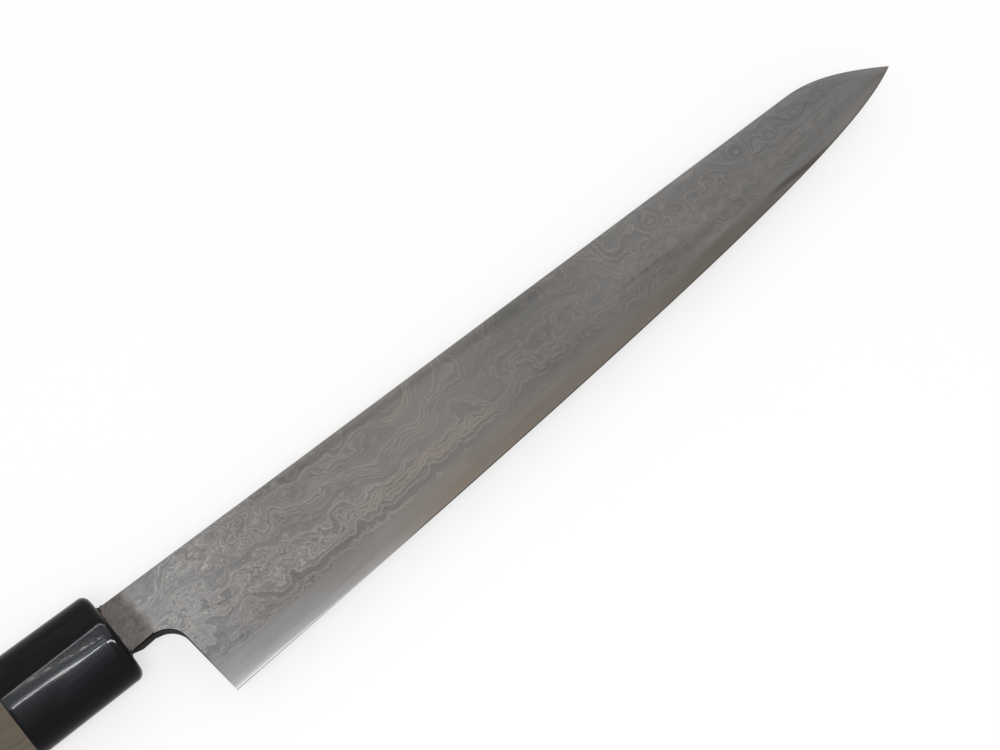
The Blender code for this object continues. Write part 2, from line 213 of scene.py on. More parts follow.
class Graph:
    """A shader or geometry node tree while it is being built.

    Args:
        tree: The node tree to add to.
    """

    SEED_STEP = 37.7

    def __init__(self, tree: bpy.types.NodeTree) -> None:
        self.tree = tree

    def node(self, kind: str, settings: dict | None = None,
             inputs: dict | None = None) -> bpy.types.Node:
        """Add one node.

        Args:
            kind: The node's type name.
            settings: Properties of the node, set before its sockets.
            inputs: Values or links of its input sockets, by name or by number.

        Returns:
            The new node.
        """
        made = self.tree.nodes.new(kind)
        for name, setting in (settings or {}).items():
            setattr(made, name, setting)
        for name, term in (inputs or {}).items():
            self.feed(made.inputs[name], term)
        return made

    def feed(self, target: NodeSocket, term: object) -> None:
        """Link a term to an input socket, or set it there as a plain value.

        Args:
            target: The input socket.
            term: A value, an output socket, a colour or a plain setting.
        """
        if isinstance(term, Value):
            self.tree.links.new(term.socket, target)
        elif isinstance(term, NodeSocket):
            self.tree.links.new(term, target)
        elif isinstance(term, tuple) and target.type == "RGBA" and len(term) == 3:
            target.default_value = (*term, 1.0)
        else:
            target.default_value = term

    def number(self, kind: str, settings: dict | None = None, inputs: dict | None = None,
               output: str | int = 0) -> Value:
        """Add a node and return one of its outputs as a number."""
        return Value(self, self.node(kind, settings, inputs).outputs[output])

    def maths(self, operation: str, *terms: Term) -> Value:
        """Add a Math node with the given operation and terms."""
        return self.number("ShaderNodeMath", {"operation": operation}, dict(enumerate(terms)))

    def vector(self, x: Term, y: Term, z: Term) -> NodeSocket:
        """Join three numbers to a vector."""
        return self.node("ShaderNodeCombineXYZ", None, {0: x, 1: y, 2: z}).outputs[0]

    def split(self, vector: NodeSocket) -> tuple[Value, Value, Value]:
        """Take a vector apart into its three numbers."""
        parts = self.node("ShaderNodeSeparateXYZ", None, {0: vector}).outputs
        return Value(self, parts[0]), Value(self, parts[1]), Value(self, parts[2])

    def blend(self, start: object, end: object, share: Term, kind: str = "MIX") -> NodeSocket:
        """Mix two colours, or their sockets, by a share and in a given way."""
        settings = {"data_type": "RGBA", "blend_type": kind, "clamp_factor": True}
        return self.node("ShaderNodeMix", settings, {0: share, 6: start, 7: end}).outputs[2]

    def tint(self, colour: object, level: Term) -> NodeSocket:
        """Make a colour, or what its socket gives, brighter by a factor."""
        inputs = {0: colour, "Scale": level}
        return self.node("ShaderNodeVectorMath", {"operation": "SCALE"}, inputs).outputs[0]

    def ramp(self, value: Value, start: float, end: float,
             stops: Sequence[tuple[float, Colour]]) -> NodeSocket:
        """Turn a number into a colour that changes from stop to stop.

        Args:
            value: The number.
            start: Where the first of the colours may stand.
            end: Where the last of them may stand.
            stops: Places and their colours, in order.

        Returns:
            The colour's socket.
        """
        made = self.node("ShaderNodeValToRGB", None, {0: (value - start) / (end - start)})
        elements = made.color_ramp.elements
        while len(elements) < len(stops):
            elements.new(1.0)
        for element, (place, colour) in zip(elements, stops):
            element.position = (place - start) / (end - start)
            element.color = (*colour, 1.0)
        return made.outputs[0]

    def noise(self, x: Term, y: Term, z: Term = 0.0, detail: float = 2.0,
              roughness: float = 0.5, seed: float = 0.0) -> Value:
        """Add a noise of mean one half over a place that is already scaled."""
        inputs = {"Vector": self.vector(x, y, z + seed * self.SEED_STEP), "Scale": 1.0,
                  "Detail": detail, "Roughness": roughness}
        return self.number("ShaderNodeTexNoise", {"noise_dimensions": "3D"}, inputs)

    def bump(self, height: Value, distance: float) -> NodeSocket:
        """Turn a height, in units of a distance in metres, into a bent normal."""
        inputs = {"Height": height, "Distance": distance}
        return self.node("ShaderNodeBump", None, inputs).outputs[0]


class Finish:
    """Base of every finish, which makes one material with a Principled shader."""

    name: str

    def material(self) -> Material:
        """Make the material and paint it.

        Returns:
            The new material.
        """
        made = bpy.data.materials.new(self.name)
        made.use_nodes = True
        graph = Graph(made.node_tree)
        shader = made.node_tree.nodes["Principled BSDF"]
        for name, term in self.paint(graph).items():
            graph.feed(shader.inputs[name], term)
        return made

    def paint(self, graph: Graph) -> Inputs:
        """Return the shader's inputs, by name, as values or sockets."""
        raise NotImplementedError


def object_place(graph: Graph) -> tuple[Value, Value, Value]:
    """Return the place on the knife in millimetres, as three numbers."""
    x, y, z = graph.split(graph.node("ShaderNodeTexCoord").outputs["Object"])
    return x / MM, y / MM, z / MM


def seen_share(graph: Graph) -> Value:
    """Tell the rays that the camera sees from those that only light a matte surface.

    Args:
        graph: The tree of a material or of the surroundings.

    Returns:
        1 for what the camera sees, straight or by way of a mirror, and 0 for the rest.
    """
    path = graph.node("ShaderNodeLightPath").outputs
    seen = Value(graph, path["Is Camera Ray"])
    for ray in ("Is Glossy Ray", "Is Transmission Ray"):
        seen = seen.most(Value(graph, path[ray]))
    return seen


@dataclass(frozen=True)
class BladePlace:
    """Place on the blade in millimetres: ahead of the heel, on Y, above edge and below spine."""

    along: Value
    y: Value
    above: Value
    below: Value

    @property
    def graph(self) -> Graph:
        """Return the tree that the place is read in."""
        return self.along.graph

    @classmethod
    def read(cls, graph: Graph) -> "BladePlace":
        """Read the place that is shaded, from the knife's own frame and the blade map.

        Args:
            graph: The material's tree.

        Returns:
            The place.
        """
        _, y, _ = object_place(graph)
        source = graph.node("ShaderNodeAttribute", {"attribute_name": BLADE_MAP})
        along, above, below = graph.split(source.outputs["Vector"])
        return cls(along, y, above, below)


@dataclass(frozen=True)
class Knot:
    """Bump in the folded layers, which the grinding opens into rings.

    Args:
        along: Place ahead of the heel, in millimetres.
        height: Place on Y, in millimetres.
        reach: Half width of the bump, in millimetres.
        swell: Height of the bump, in layers' millimetres.
        slim: How much longer than high the bump is.
    """

    along: float
    height: float
    reach: float
    swell: float
    slim: float = 1.3


@dataclass(frozen=True)
class SteelTones:
    """Tones that all the steel of the blade shares, as linear colours.

    The numbers in its methods are millimetres on the blade and shares of the brightness. Each
    stop is a place ahead of the heel with the brightness and warmth of the ground side; the
    stops' brightness, higher at the heel, is partly painted reflection.
    """

    stops: tuple[tuple[float, float, float], ...] = (
        (-12.0, 0.298, 0.01), (4.0, 0.277, 0.012), (22.0, 0.228, 0.03), (40.0, 0.208, 0.045),
        (58.0, 0.207, 0.06), (76.0, 0.205, 0.06), (94.0, 0.184, 0.055), (112.0, 0.168, 0.04),
        (130.0, 0.173, 0.035), (148.0, 0.187, 0.035), (166.0, 0.182, 0.03), (184.0, 0.173, 0.015),
        (202.0, 0.172, 0.005), (240.0, 0.173, 0.004),
    )
    glare_tint: Colour = (0.96, 1.0, 1.08)
    warm: Colour = (1.09, 1.0, 0.90)
    iron: Colour = (0.146, 0.131, 0.121)
    # Near black of the notch's narrow walls, also used for the painted shade along the spine's
    # corner.
    near_black: Colour = (0.006, 0.0055, 0.006)
    full_height: float = 36.6

    def relative(self, place: BladePlace) -> Value:
        """Return the height above the edge, stretched to the blade's height at the heel."""
        return place.above * self.full_height / (place.above + place.below)

    def ground(self, place: BladePlace) -> NodeSocket:
        """Return the tone of the ground side, brighter at the heel and streaked along the edge,
        partly by painted highlight and painted dark reflection.

        Args:
            place: The place on the blade.

        Returns:
            The colour's socket.
        """
        graph, along, above = place.graph, place.along, place.above
        relative = self.relative(place)
        stops = [(spot, (level * (1 + warmth), level, level * (1 - warmth)))
                 for spot, level, warmth in self.stops]
        # The stops' brightness along the blade is partly painted reflection.
        tone = graph.ramp(along, self.stops[0][0], self.stops[-1][0], stops)
        # Painted highlight: glare brightens the steel along the edge at the heel.
        glare = (above / -2.4).exp() * along.fall(24.0, 80.0) * 0.95
        band = relative.near(10.5, 0.5, 5.0) * 0.10
        # Painted dark reflection: a dark zone above the edge towards the point.
        belly_dark_reflection = above.fall(2.0, 8.0 - along.ease(150.0, 185.0) * 4.8)
        belly_dark_reflection = belly_dark_reflection * along.within((115.0, 158.0), (172.0, 225.0)) * 0.30
        dip = above.near(2.2, 0.3, 3.4) * along.within((38.0, 62.0), (100.0, 140.0)) * 0.08
        cloudy = relative.near(12.5, 1.0, 4.5) * along.within((134.0, 146.0), (160.0, 178.0)) * 0.11
        spine = place.below.fall(1.0, 3.0) * (0.05 + along.ease(120.0, 165.0) * 0.12)
        # Painted dark reflection: a narrow dark streak along the edge near the point.
        streak = (above + along.ease(178.0, 211.0) * 3.2).near(3.3, 0.1, 1.2)
        streak = streak * along.within((150.0, 170.0), (204.0, 214.0))
        streak = streak * (0.12 + along.ease(184.0, 196.0) * 0.26)
        mottle = graph.noise(along * 0.07, above * 0.15, detail=2.0, seed=2.2) - 0.5
        level = 1.0 + glare - band - belly_dark_reflection - dip - cloudy - streak + spine + mottle * 0.22
        late = along.ease(165.0, 205.0)
        low = above.fall(1.0, 9.0) * (1.0 - late) + above.fall(0.8, 3.6) * late
        warmth = low * along.ease(35.0, 78.0) * (1.0 - late * 0.25)
        # The cool tint is the colour of the painted highlight along the heel's edge.
        for tint, share in ((self.glare_tint, glare * 0.5), (self.warm, warmth)):
            tone = graph.blend(tone, graph.blend(tone, tint, 1.0, "MULTIPLY"), share)
        return graph.tint(tone, level)

    def neck_share(self, place: BladePlace) -> Value:
        """Return 1 on the plain iron of the neck and 0 on the patterned steel."""
        wander = place.graph.noise(place.along * 0.5, place.y * 0.45, detail=3.0, seed=4.2) - 0.5
        return (place.along - wander * 1.4).fall(-7.1, -4.7)

    def painted_spine_shade(self, colour: object, place: BladePlace) -> NodeSocket:
        """Return a colour with a thin painted shade along the spine's rounded corner near the
        handle.
        """
        share = place.below.fall(0.12, 0.42) * place.along.fall(4.0, 40.0) * 0.75
        return place.graph.blend(colour, self.near_black, share)

    def brushing(self, place: BladePlace) -> Value:
        """Return the streaks that the stone leaves along the edge.

        Args:
            place: The place on the blade.

        Returns:
            The streaks' height, from -1 to 1 and about 0 on the whole.
        """
        graph, along, above = place.graph, place.along, place.above
        broad = graph.noise(along * 0.035, above * 0.9, detail=3.0, roughness=0.6, seed=3.0)
        thin = graph.noise(along * 0.10, above * 3.4, detail=2.0, roughness=0.6, seed=3.8)
        return (broad - 0.5) * 1.6 + (thin - 0.5) * 1.2

    def surface(self, steel: object, roughness: Term, grain: Value, grain_depth: float) -> Inputs:
        """Return the shader's inputs for steel that is near black and less metallic on the notch's
        narrow walls.

        Args:
            steel: Colour of the ground side.
            roughness: Roughness of the ground side.
            grain: Height of the grinding marks.
            grain_depth: Depth of the marks, in metres.

        Returns:
            Values or sockets, by name.
        """
        graph = grain.graph
        wall = graph.number("ShaderNodeAttribute", {"attribute_name": WALL_MAP}, None, "Fac")
        return {
            "Base Color": graph.blend(steel, self.near_black, wall),
            "Metallic": 1.0 - wall * 0.7,
            "Roughness": roughness + wall * 0.25,
            "Specular IOR Level": 0.1,
            "Normal": graph.bump(grain, grain_depth),
        }


@dataclass(frozen=True)
class IronFinish(Finish):
    """Plain iron of the neck, scratched across by a file."""

    name: str = "plain_iron"
    tones: SteelTones = SteelTones()

    def colour(self, place: BladePlace) -> NodeSocket:
        """Return the iron's colour, which turns to the ground steel's towards the blade.

        Args:
            place: The place on the neck.

        Returns:
            The colour's socket.
        """
        graph, along, y = place.graph, place.along, place.y
        cloud = graph.noise(along * 0.30, y * 0.30, detail=4.0, roughness=0.65, seed=1.0) - 0.5
        bend = graph.noise(along * 0.25, y * 0.25, detail=1.0, seed=1.7) * 2.5
        across, down = along * 0.80 - y * 0.60 + bend, along * 0.60 + y * 0.80
        scratch = graph.noise(across * 1.7, down * 0.55, detail=5.0, roughness=0.8, seed=2.0) - 0.5
        other = graph.noise(down * 1.5, across * 1.1, detail=5.0, roughness=0.8, seed=2.5) - 0.5
        iron = graph.tint(self.tones.iron, 1.0 + cloud + scratch * 1.5 + other * 1.1)
        steel = graph.tint(self.tones.ground(place), 0.97 + cloud * 0.6 + scratch * 0.8)
        return graph.blend(iron, steel, (along + cloud * 4.0).ease(-9.2, -4.6))

    def paint(self, graph: Graph) -> Inputs:
        """Return the shader's inputs for the iron.

        Args:
            graph: The material's tree.

        Returns:
            Values or sockets, by name.
        """
        place = BladePlace.read(graph)
        grain = graph.noise(place.along * 1.2, place.y * 20.0, detail=2.0, seed=6.0) - 0.5
        # Adds the painted shade along the spine's rounded corner.
        iron = self.tones.painted_spine_shade(self.colour(place), place)
        return self.tones.surface(iron, 0.42, grain, 0.010 * MM)


@dataclass(frozen=True)
class FoldedLayers:
    """Stack of folded layers, as a node group that gives the depth of the ground surface in it.

    Layers are millimetres between pale layers, and zones are millimetres ahead of the heel. The
    bunching says how quickly close layers follow on layers that lie far apart.
    """

    tones: SteelTones = SteelTones()
    bunching: float = 1.3
    heel_layer: float = 1.35
    middle_layer: float = 2.0
    point_layer: float = 1.25
    heel_zone: Span = (12.0, 62.0)
    middle_zone: tuple[Span, Span] = ((68.0, 95.0), (130.0, 146.0))
    point_zone: Span = (130.0, 150.0)
    knots: tuple[Knot, ...] = (
        Knot(3.0, -7.8, 1.3, 2.4), Knot(14.8, -13.8, 1.6, -3.4, 1.2),
        Knot(17.5, 5.2, 1.6, -4.0, 1.8), Knot(26.5, 4.3, 1.4, -3.0, 1.6),
        Knot(20.5, -9.8, 2.0, 3.0, 1.6), Knot(61.0, -8.5, 3.2, 4.0, 1.1),
        Knot(95.0, -10.0, 2.6, 4.0, 1.5), Knot(109.5, -10.0, 1.7, 3.6, 1.4),
        Knot(123.6, -9.5, 1.7, -3.6, 1.3), Knot(133.5, 2.4, 1.5, 4.4, 1.1),
        Knot(147.0, -8.8, 4.6, -6.0, 0.85), Knot(157.2, 1.9, 2.6, 3.0, 1.2),
        Knot(164.9, 0.4, 2.2, 2.7, 1.2), Knot(177.0, -0.4, 1.4, 1.8, 1.3),
        Knot(189.0, 2.6, 3.0, 4.0, 1.2), Knot(199.2, 1.0, 1.7, 2.6, 1.1),
        Knot(209.0, 2.2, 2.4, 3.0, 1.5), Knot(217.5, 1.6, 1.5, 2.4, 3.0),
    )

    def group(self) -> bpy.types.NodeTree:
        """Make the node group.

        Returns:
            The group, from places in millimetres to the depth, counted in pale layers.
        """
        tree = bpy.data.node_groups.new("folded_layers", "ShaderNodeTree")
        names = ("Along", "Height", "Above", "Below")
        for name in names:
            tree.interface.new_socket(name, in_out="INPUT", socket_type="NodeSocketFloat")
        tree.interface.new_socket("Depth", in_out="OUTPUT", socket_type="NodeSocketFloat")
        graph = Graph(tree)
        source = graph.node("NodeGroupInput")
        place = BladePlace(*(Value(graph, source.outputs[name]) for name in names))
        graph.node("NodeGroupOutput", None, {"Depth": self.depth(place)})
        return tree

    def depth(self, place: BladePlace) -> Value:
        """Return how deep in the stack of layers the ground surface is.

        It grows with the height above the edge, and noises and knots bend the layers.

        Args:
            place: The place on the blade.

        Returns:
            The depth, counted in pale layers.
        """
        graph, along, y = place.graph, place.along, place.y
        level = self.tones.relative(place)
        middle, late = along.within(*self.middle_zone), along.ease(*self.point_zone)
        heel = along.fall(*self.heel_zone)
        free = 0.20 + level.ease(8.0, 16.0) * (0.80 - late * 0.66)
        broad = graph.noise(along * 0.080, y * 0.085, detail=1.0, seed=1.3) - 0.5
        wavy = graph.noise(along * 0.17, y * 0.21, detail=2.0, seed=5.1) - 0.5
        busy = graph.noise(along * 0.30, y * 0.56, detail=3.0, roughness=0.68, seed=8.7) - 0.5
        strand = graph.noise(along * 0.17, y * 0.62, detail=4.0, roughness=0.66, seed=2.2) - 0.5
        busy = busy + (strand - busy) * heel * 0.75
        zigzag = graph.noise(along * 0.27, y * 0.05, detail=3.0, roughness=0.65, seed=4.4) - 0.5
        zigzag = zigzag * (1.0 - heel * 0.5) * level.fall(14.0, 22.0) * (1.0 - late * 0.8)
        depth = (level - 15.0) * (0.85 - middle * level.ease(9.0, 16.0) * 0.42 + late * 0.15)
        depth = depth - (level - 22.5).most(0.0) * late * 0.80
        trend = (along - 40.0).least(34.0).most(-30.0) * along.fall(76.0, 98.0)
        depth = depth + trend * level.ease(6.0, 33.0) * 0.24
        depth = depth + (broad * (12.0 + middle * 6.0) + wavy * (6.0 + heel * 3.0)) * free
        depth = depth + busy * (1.5 + heel * 3.2 - late) + zigzag * 6.0
        ripple = (along * 0.96 - level * 0.12 + wavy * 3.0 + broad * 5.0).sin()
        ripple = ripple * late * along.fall(190.0, 206.0) * level.fall(20.0, 26.0)
        depth = depth + ripple * (1.75 + busy.size() * 2.0 + broad * 1.6)
        for knot in self.knots:
            across = (along - knot.along) / (knot.reach * knot.slim)
            up = (y - knot.height) / knot.reach
            depth = depth + (-(across * across + up * up)).exp() * knot.swell
        at_heel, at_middle, at_point = (1.0 / layer for layer in (
            self.heel_layer, self.middle_layer, self.point_layer))
        count = at_heel + along.ease(25.0, 75.0) * (at_middle - at_heel)
        depth = depth * (count + late * (at_point - at_middle))
        return depth + (depth * self.bunching).sin() * (1.0 - late) * 0.5


@dataclass(frozen=True)
class LayerCut:
    """How the ground surface cuts the folded layers at a place.

    It holds the place's stretched height, its depth in layers, the slope in layers a millimetre,
    and how much the place belongs to the heel and to the late part, towards the point.
    """

    place: BladePlace
    relative: Value
    depth: Value
    slope: Value
    heel: Value
    late: Value

    def loose(self) -> Value:
        """Return how clearly the layers show, less where many of them are cut."""
        return 1.0 - self.slope.ease(1.2, 2.8) * 0.7


@dataclass(frozen=True)
class DamascusFinish(Finish):
    """Folded steel whose layers show as fine pale lines, with islands and rings.

    Sizes and zones are in millimetres. The pale tints are how much brighter than the steel
    round them the lines are.
    """

    name: str = "damascus"
    tones: SteelTones = SteelTones()
    layers: FoldedLayers = FoldedLayers()
    iron: IronFinish = IronFinish()
    line_width: float = 0.30
    slope_step: float = 0.12
    heel_zone: Span = (10.0, 80.0)
    point_zone: Span = (134.0, 156.0)
    pale_at_heel: Colour = (1.64, 1.59, 1.55)
    pale_in_middle: Colour = (1.32, 1.25, 1.19)
    pale_at_point: Colour = (1.42, 1.32, 1.24)

    def slope(self, depth_at: Callable[[BladePlace], Value], place: BladePlace,
              here: Value) -> Value:
        """Return how many layers the surface cuts in a millimetre, at the steepest.

        Args:
            depth_at: Gives the depth at a place.
            place: The place.
            here: The depth there.

        Returns:
            The slope.
        """
        step = self.slope_step
        ahead = depth_at(replace(place, along=place.along + step)) - here
        raised = replace(place, y=place.y + step, above=place.above + step,
                         below=place.below - step)
        up = depth_at(raised) - here
        return ((ahead * ahead + up * up) ** 0.5 / step).most(0.08)

    def cut(self, graph: Graph) -> LayerCut:
        """Find how the ground surface cuts the layers.

        Args:
            graph: The material's tree.

        Returns:
            The cut at the place that is shaded.
        """
        place, group = BladePlace.read(graph), self.layers.group()

        def depth_at(spot: BladePlace) -> Value:
            """Return the depth at a place."""
            inputs = {0: spot.along, 1: spot.y, 2: spot.above, 3: spot.below}
            return graph.number("ShaderNodeGroup", {"node_tree": group}, inputs)

        depth = depth_at(place)
        return LayerCut(place, self.tones.relative(place), depth,
                        self.slope(depth_at, place, depth),
                        place.along.fall(*self.heel_zone), place.along.ease(*self.point_zone))

    def chance(self, number: Value, seed: float) -> Value:
        """Return a random share for a layer's number."""
        settings, inputs = {"noise_dimensions": "1D"}, {"W": number + seed}
        return number.graph.number("ShaderNodeTexWhiteNoise", settings, inputs, "Value")

    def seam(self, cut: LayerCut, offset: float, width: Term) -> tuple[Value, Value]:
        """Return the line that a thin layer draws, and the layer's number.

        Args:
            cut: How the layers are cut.
            offset: Place of the thin layer between two others.
            width: The line's width, in millimetres.

        Returns:
            1 on the line and 0 off it, and the number.
        """
        shifted = cut.depth - offset
        number = shifted.graph.maths("ROUND", shifted)
        away = (shifted - number).size() / cut.slope
        return away.fall(width * 0.2, width * 0.95), number

    def pale_lines(self, cut: LayerCut) -> Value:
        """Return where the pale lines are, each layer with its own strength and its own gaps.

        Args:
            cut: How the layers are cut.

        Returns:
            1 on the clearest line and 0 between the lines.
        """
        graph, along, heel = cut.place.graph, cut.place.along, cut.heel
        fade = graph.noise(along * 0.36, cut.place.y * 0.50, detail=3.0, roughness=0.6, seed=2.9)
        width = self.line_width - heel * 0.07 - cut.late * 0.05
        first, number = self.seam(cut, 0.0, width)
        second, pair = self.seam(cut, 0.30, width * 0.8)
        bold = cut.relative.fall(13.0, 19.0) * along.within((18.0, 34.0), (82.0, 102.0))
        first = first * (0.40 + self.chance(number, 0.5) * 0.60 + bold * 0.40)
        second = second * (self.chance(pair, 5.5).ease(0.4, 0.9) * 0.8 + bold * 0.45)
        unbroken = (fade + bold * 0.12).ease(0.29 - heel * 0.07, 0.54 - heel * 0.08)
        return first.most(second) * cut.loose() * unbroken * along.ease(-7.6, -5.2)

    def level(self, cut: LayerCut, shows: Value, cloud: Value, grain: Value) -> Value:
        """Return the brightness of the steel between the pale lines.

        Args:
            cut: How the layers are cut.
            shows: How clearly the pattern shows, from 0 to 1.
            cloud: Soft patches, about 0.
            grain: Grinding marks, about 0.

        Returns:
            The brightness, about 1.
        """
        graph, along, heel, late = cut.place.graph, cut.place.along, cut.heel, cut.late
        stack = graph.noise(cut.depth * 0.9, along * 0.02, detail=1.0, seed=6.6) - 0.5
        flank, _ = self.seam(cut, -0.22, 0.75)
        pattern = stack * 0.72 - flank * (0.14 + late * 0.10)
        pattern = pattern * cut.loose() * (0.30 + heel * 0.70 + late * 0.20)
        patch = graph.noise(along * 0.42, cut.place.y * 0.62, detail=5.0, roughness=0.7, seed=9.9)
        spots = patch.ease(0.56, 0.64) * 0.10 - patch.fall(0.36, 0.44) * 0.12
        pattern = pattern + spots * heel + cloud * (0.10 + heel * 0.16)
        brushed = self.tones.brushing(cut.place) * (1.0 - cut.relative.ease(9.0, 17.0) * 0.8)
        level = 0.98 + pattern * shows + grain * 0.08 + brushed * (0.15 + heel * 0.08)
        return level - self.shades(cut.place, cloud)

    def shades(self, place: BladePlace, cloud: Value) -> Value:
        """Return the long smoky streaks under the spine.

        Args:
            place: The place on the blade.
            cloud: Soft patches that bend the streaks.

        Returns:
            How much darker they make the steel.
        """
        along = place.along
        thick = along.within((84.0, 96.0), (114.0, 128.0))
        smoke = (place.below - 2.0 - thick * 0.4 - cloud * 2.5).size().fall(0.2, thick + 1.3)
        smoke = smoke * along.within((15.0, 40.0), (118.0, 134.0)) * 0.16
        thin = (place.y + cloud).near(-8.0, 0.1, 0.8)
        return smoke + thin * along.within((132.0, 142.0), (150.0, 162.0)) * 0.18

    def paint(self, graph: Graph) -> Inputs:
        """Return the shader's inputs for the patterned steel.

        Args:
            graph: The material's tree.

        Returns:
            Values or sockets, by name.
        """
        cut = self.cut(graph)
        place, along = cut.place, cut.place.along
        cloud = graph.noise(along * 0.33, place.y * 0.55, detail=4.0, roughness=0.65, seed=7.4)
        cloud = cloud - 0.5
        grain = graph.noise(along * 1.2, place.y * 20.0, detail=2.0, seed=6.0) - 0.5
        border = cut.relative - (graph.noise(along * 0.12, 0.0, detail=2.0, seed=3.3) - 0.5) * 4.0
        shows = (border + cut.late * 1.2).ease(7.0, 8.4) * (1.0 - along.ease(208.0, 236.0) * 0.70)
        pale = self.pale_lines(cut) * shows
        between = graph.tint(self.tones.ground(place), self.level(cut, shows, cloud, grain))
        between = graph.blend(between, self.iron.colour(place), self.tones.neck_share(place))
        lift = graph.blend(self.pale_in_middle, self.pale_at_heel, cut.heel)
        lift = graph.blend(lift, self.pale_at_point, cut.late)
        steel = graph.blend(between, graph.blend(between, lift, 1.0, "MULTIPLY"), pale)
        # Adds the painted shade along the spine's rounded corner.
        steel = self.tones.painted_spine_shade(steel, place)
        roughness = 0.40 + cloud * 0.08 - pale * 0.04
        return self.tones.surface(steel, roughness, grain, 0.010 * MM)


@dataclass(frozen=True)
class CoreFinish(Finish):
    """Hard steel of the core, ground lengthwise, with a sharpened edge in painted highlight and
    painted dark reflection.
    """

    name: str = "core_steel"
    tones: SteelTones = SteelTones()
    honed_highlight: Colour = (0.95, 0.95, 0.98)
    edge_dark_reflection: Colour = (0.080, 0.072, 0.066)
    # Painted highlight on the edge's rim near the heel.
    rim: Colour = (0.36, 0.36, 0.37)

    def paint(self, graph: Graph) -> Inputs:
        """Return the shader's inputs for the exposed core.

        Args:
            graph: The material's tree.

        Returns:
            Values or sockets, by name.
        """
        place = BladePlace.read(graph)
        along, above = place.along, place.above
        grain = graph.noise(along * 0.6, above * 20.0, detail=2.0, seed=7.0) - 0.5
        brushed = self.tones.brushing(place)
        level = 1.0 + brushed * (0.23 - along.ease(10.0, 80.0) * 0.08) + grain * 0.08
        # Painted highlight: brighter steel just above the edge at the heel.
        level = level + above.fall(0.3, 1.9) * along.fall(3.0, 30.0) * 0.28
        steel = graph.tint(self.tones.ground(place), level)
        # The edge strip: painted highlight at the heel, turning to painted dark reflection towards
        # the point.
        edge = graph.blend(self.honed_highlight, self.edge_dark_reflection, along.ease(14.0, 66.0))
        reach = 1.7 - along.ease(6.0, 44.0) * 0.7
        steel = graph.blend(steel, edge, (above / reach).fall(0.14, 0.42))
        # A thin painted highlight right on the edge near the heel.
        steel = graph.blend(steel, self.rim, above.fall(0.16, 0.34) * along.fall(20.0, 60.0))
        return self.tones.surface(steel, 0.38 + brushed * 0.05, grain, 0.012 * MM)


@dataclass(frozen=True)
class HornFinish(Finish):
    """Polished dark horn with faint brown streaks along its length."""

    name: str = "horn"
    black: Colour = (0.0040, 0.0042, 0.0050)
    brown: Colour = (0.0088, 0.0080, 0.0075)

    def paint(self, graph: Graph) -> Inputs:
        """Return the shader's inputs for the horn.

        Args:
            graph: The material's tree.

        Returns:
            Values or sockets, by name.
        """
        x, y, z = object_place(graph)
        streak = graph.noise(x * 0.05, y * 0.55, z * 0.55, detail=4.0, roughness=0.6, seed=3.4)
        fibre = graph.noise(x * 0.12, y * 1.6, z * 1.6, detail=2.0, seed=5.5)
        speckle = graph.noise(x * 0.3, y * 1.5, z * 1.5, detail=2.0, seed=1.1)
        worn = y.ease(-3.4, -2.4)
        dull = graph.noise(x * 1.3, y * 0.9, z * 0.9, detail=2.0, seed=7.9).ease(0.42, 0.54) * worn
        upper = y.ease(-2.0, 7.0)
        share = streak.ease(0.42, 0.68) * (0.25 + upper * 0.75) + (fibre - 0.5) * 0.3
        return {
            "Base Color": graph.blend(self.black, self.brown, share),
            "Metallic": 0.0,
            "Roughness": 0.05 + dull * 0.10,
            "Specular IOR Level": 0.06,
            "Coat Weight": 0.02,
            "Coat Roughness": 0.25,
            "Normal": graph.bump((fibre * 0.4 + speckle) * (0.3 + worn * 0.7), 0.005 * MM),
        }


@dataclass(frozen=True)
class ResinFinish(Finish):
    """Dark crumbly resin round the neck."""

    name: str = "resin"
    dark: Colour = (0.010, 0.009, 0.008)
    dusty: Colour = (0.075, 0.066, 0.058)

    def paint(self, graph: Graph) -> Inputs:
        """Return the shader's inputs for the resin.

        Args:
            graph: The material's tree.

        Returns:
            Values or sockets, by name.
        """
        x, y, z = object_place(graph)
        lump = graph.noise(x * 1.6, y * 1.6, z * 1.6, detail=5.0, roughness=0.7, seed=1.9)
        return {
            "Base Color": graph.blend(self.dark, self.dusty, lump.ease(0.45, 0.72)),
            "Roughness": 0.62 + lump * 0.3,
            "Normal": graph.bump(lump, 0.25 * MM),
        }


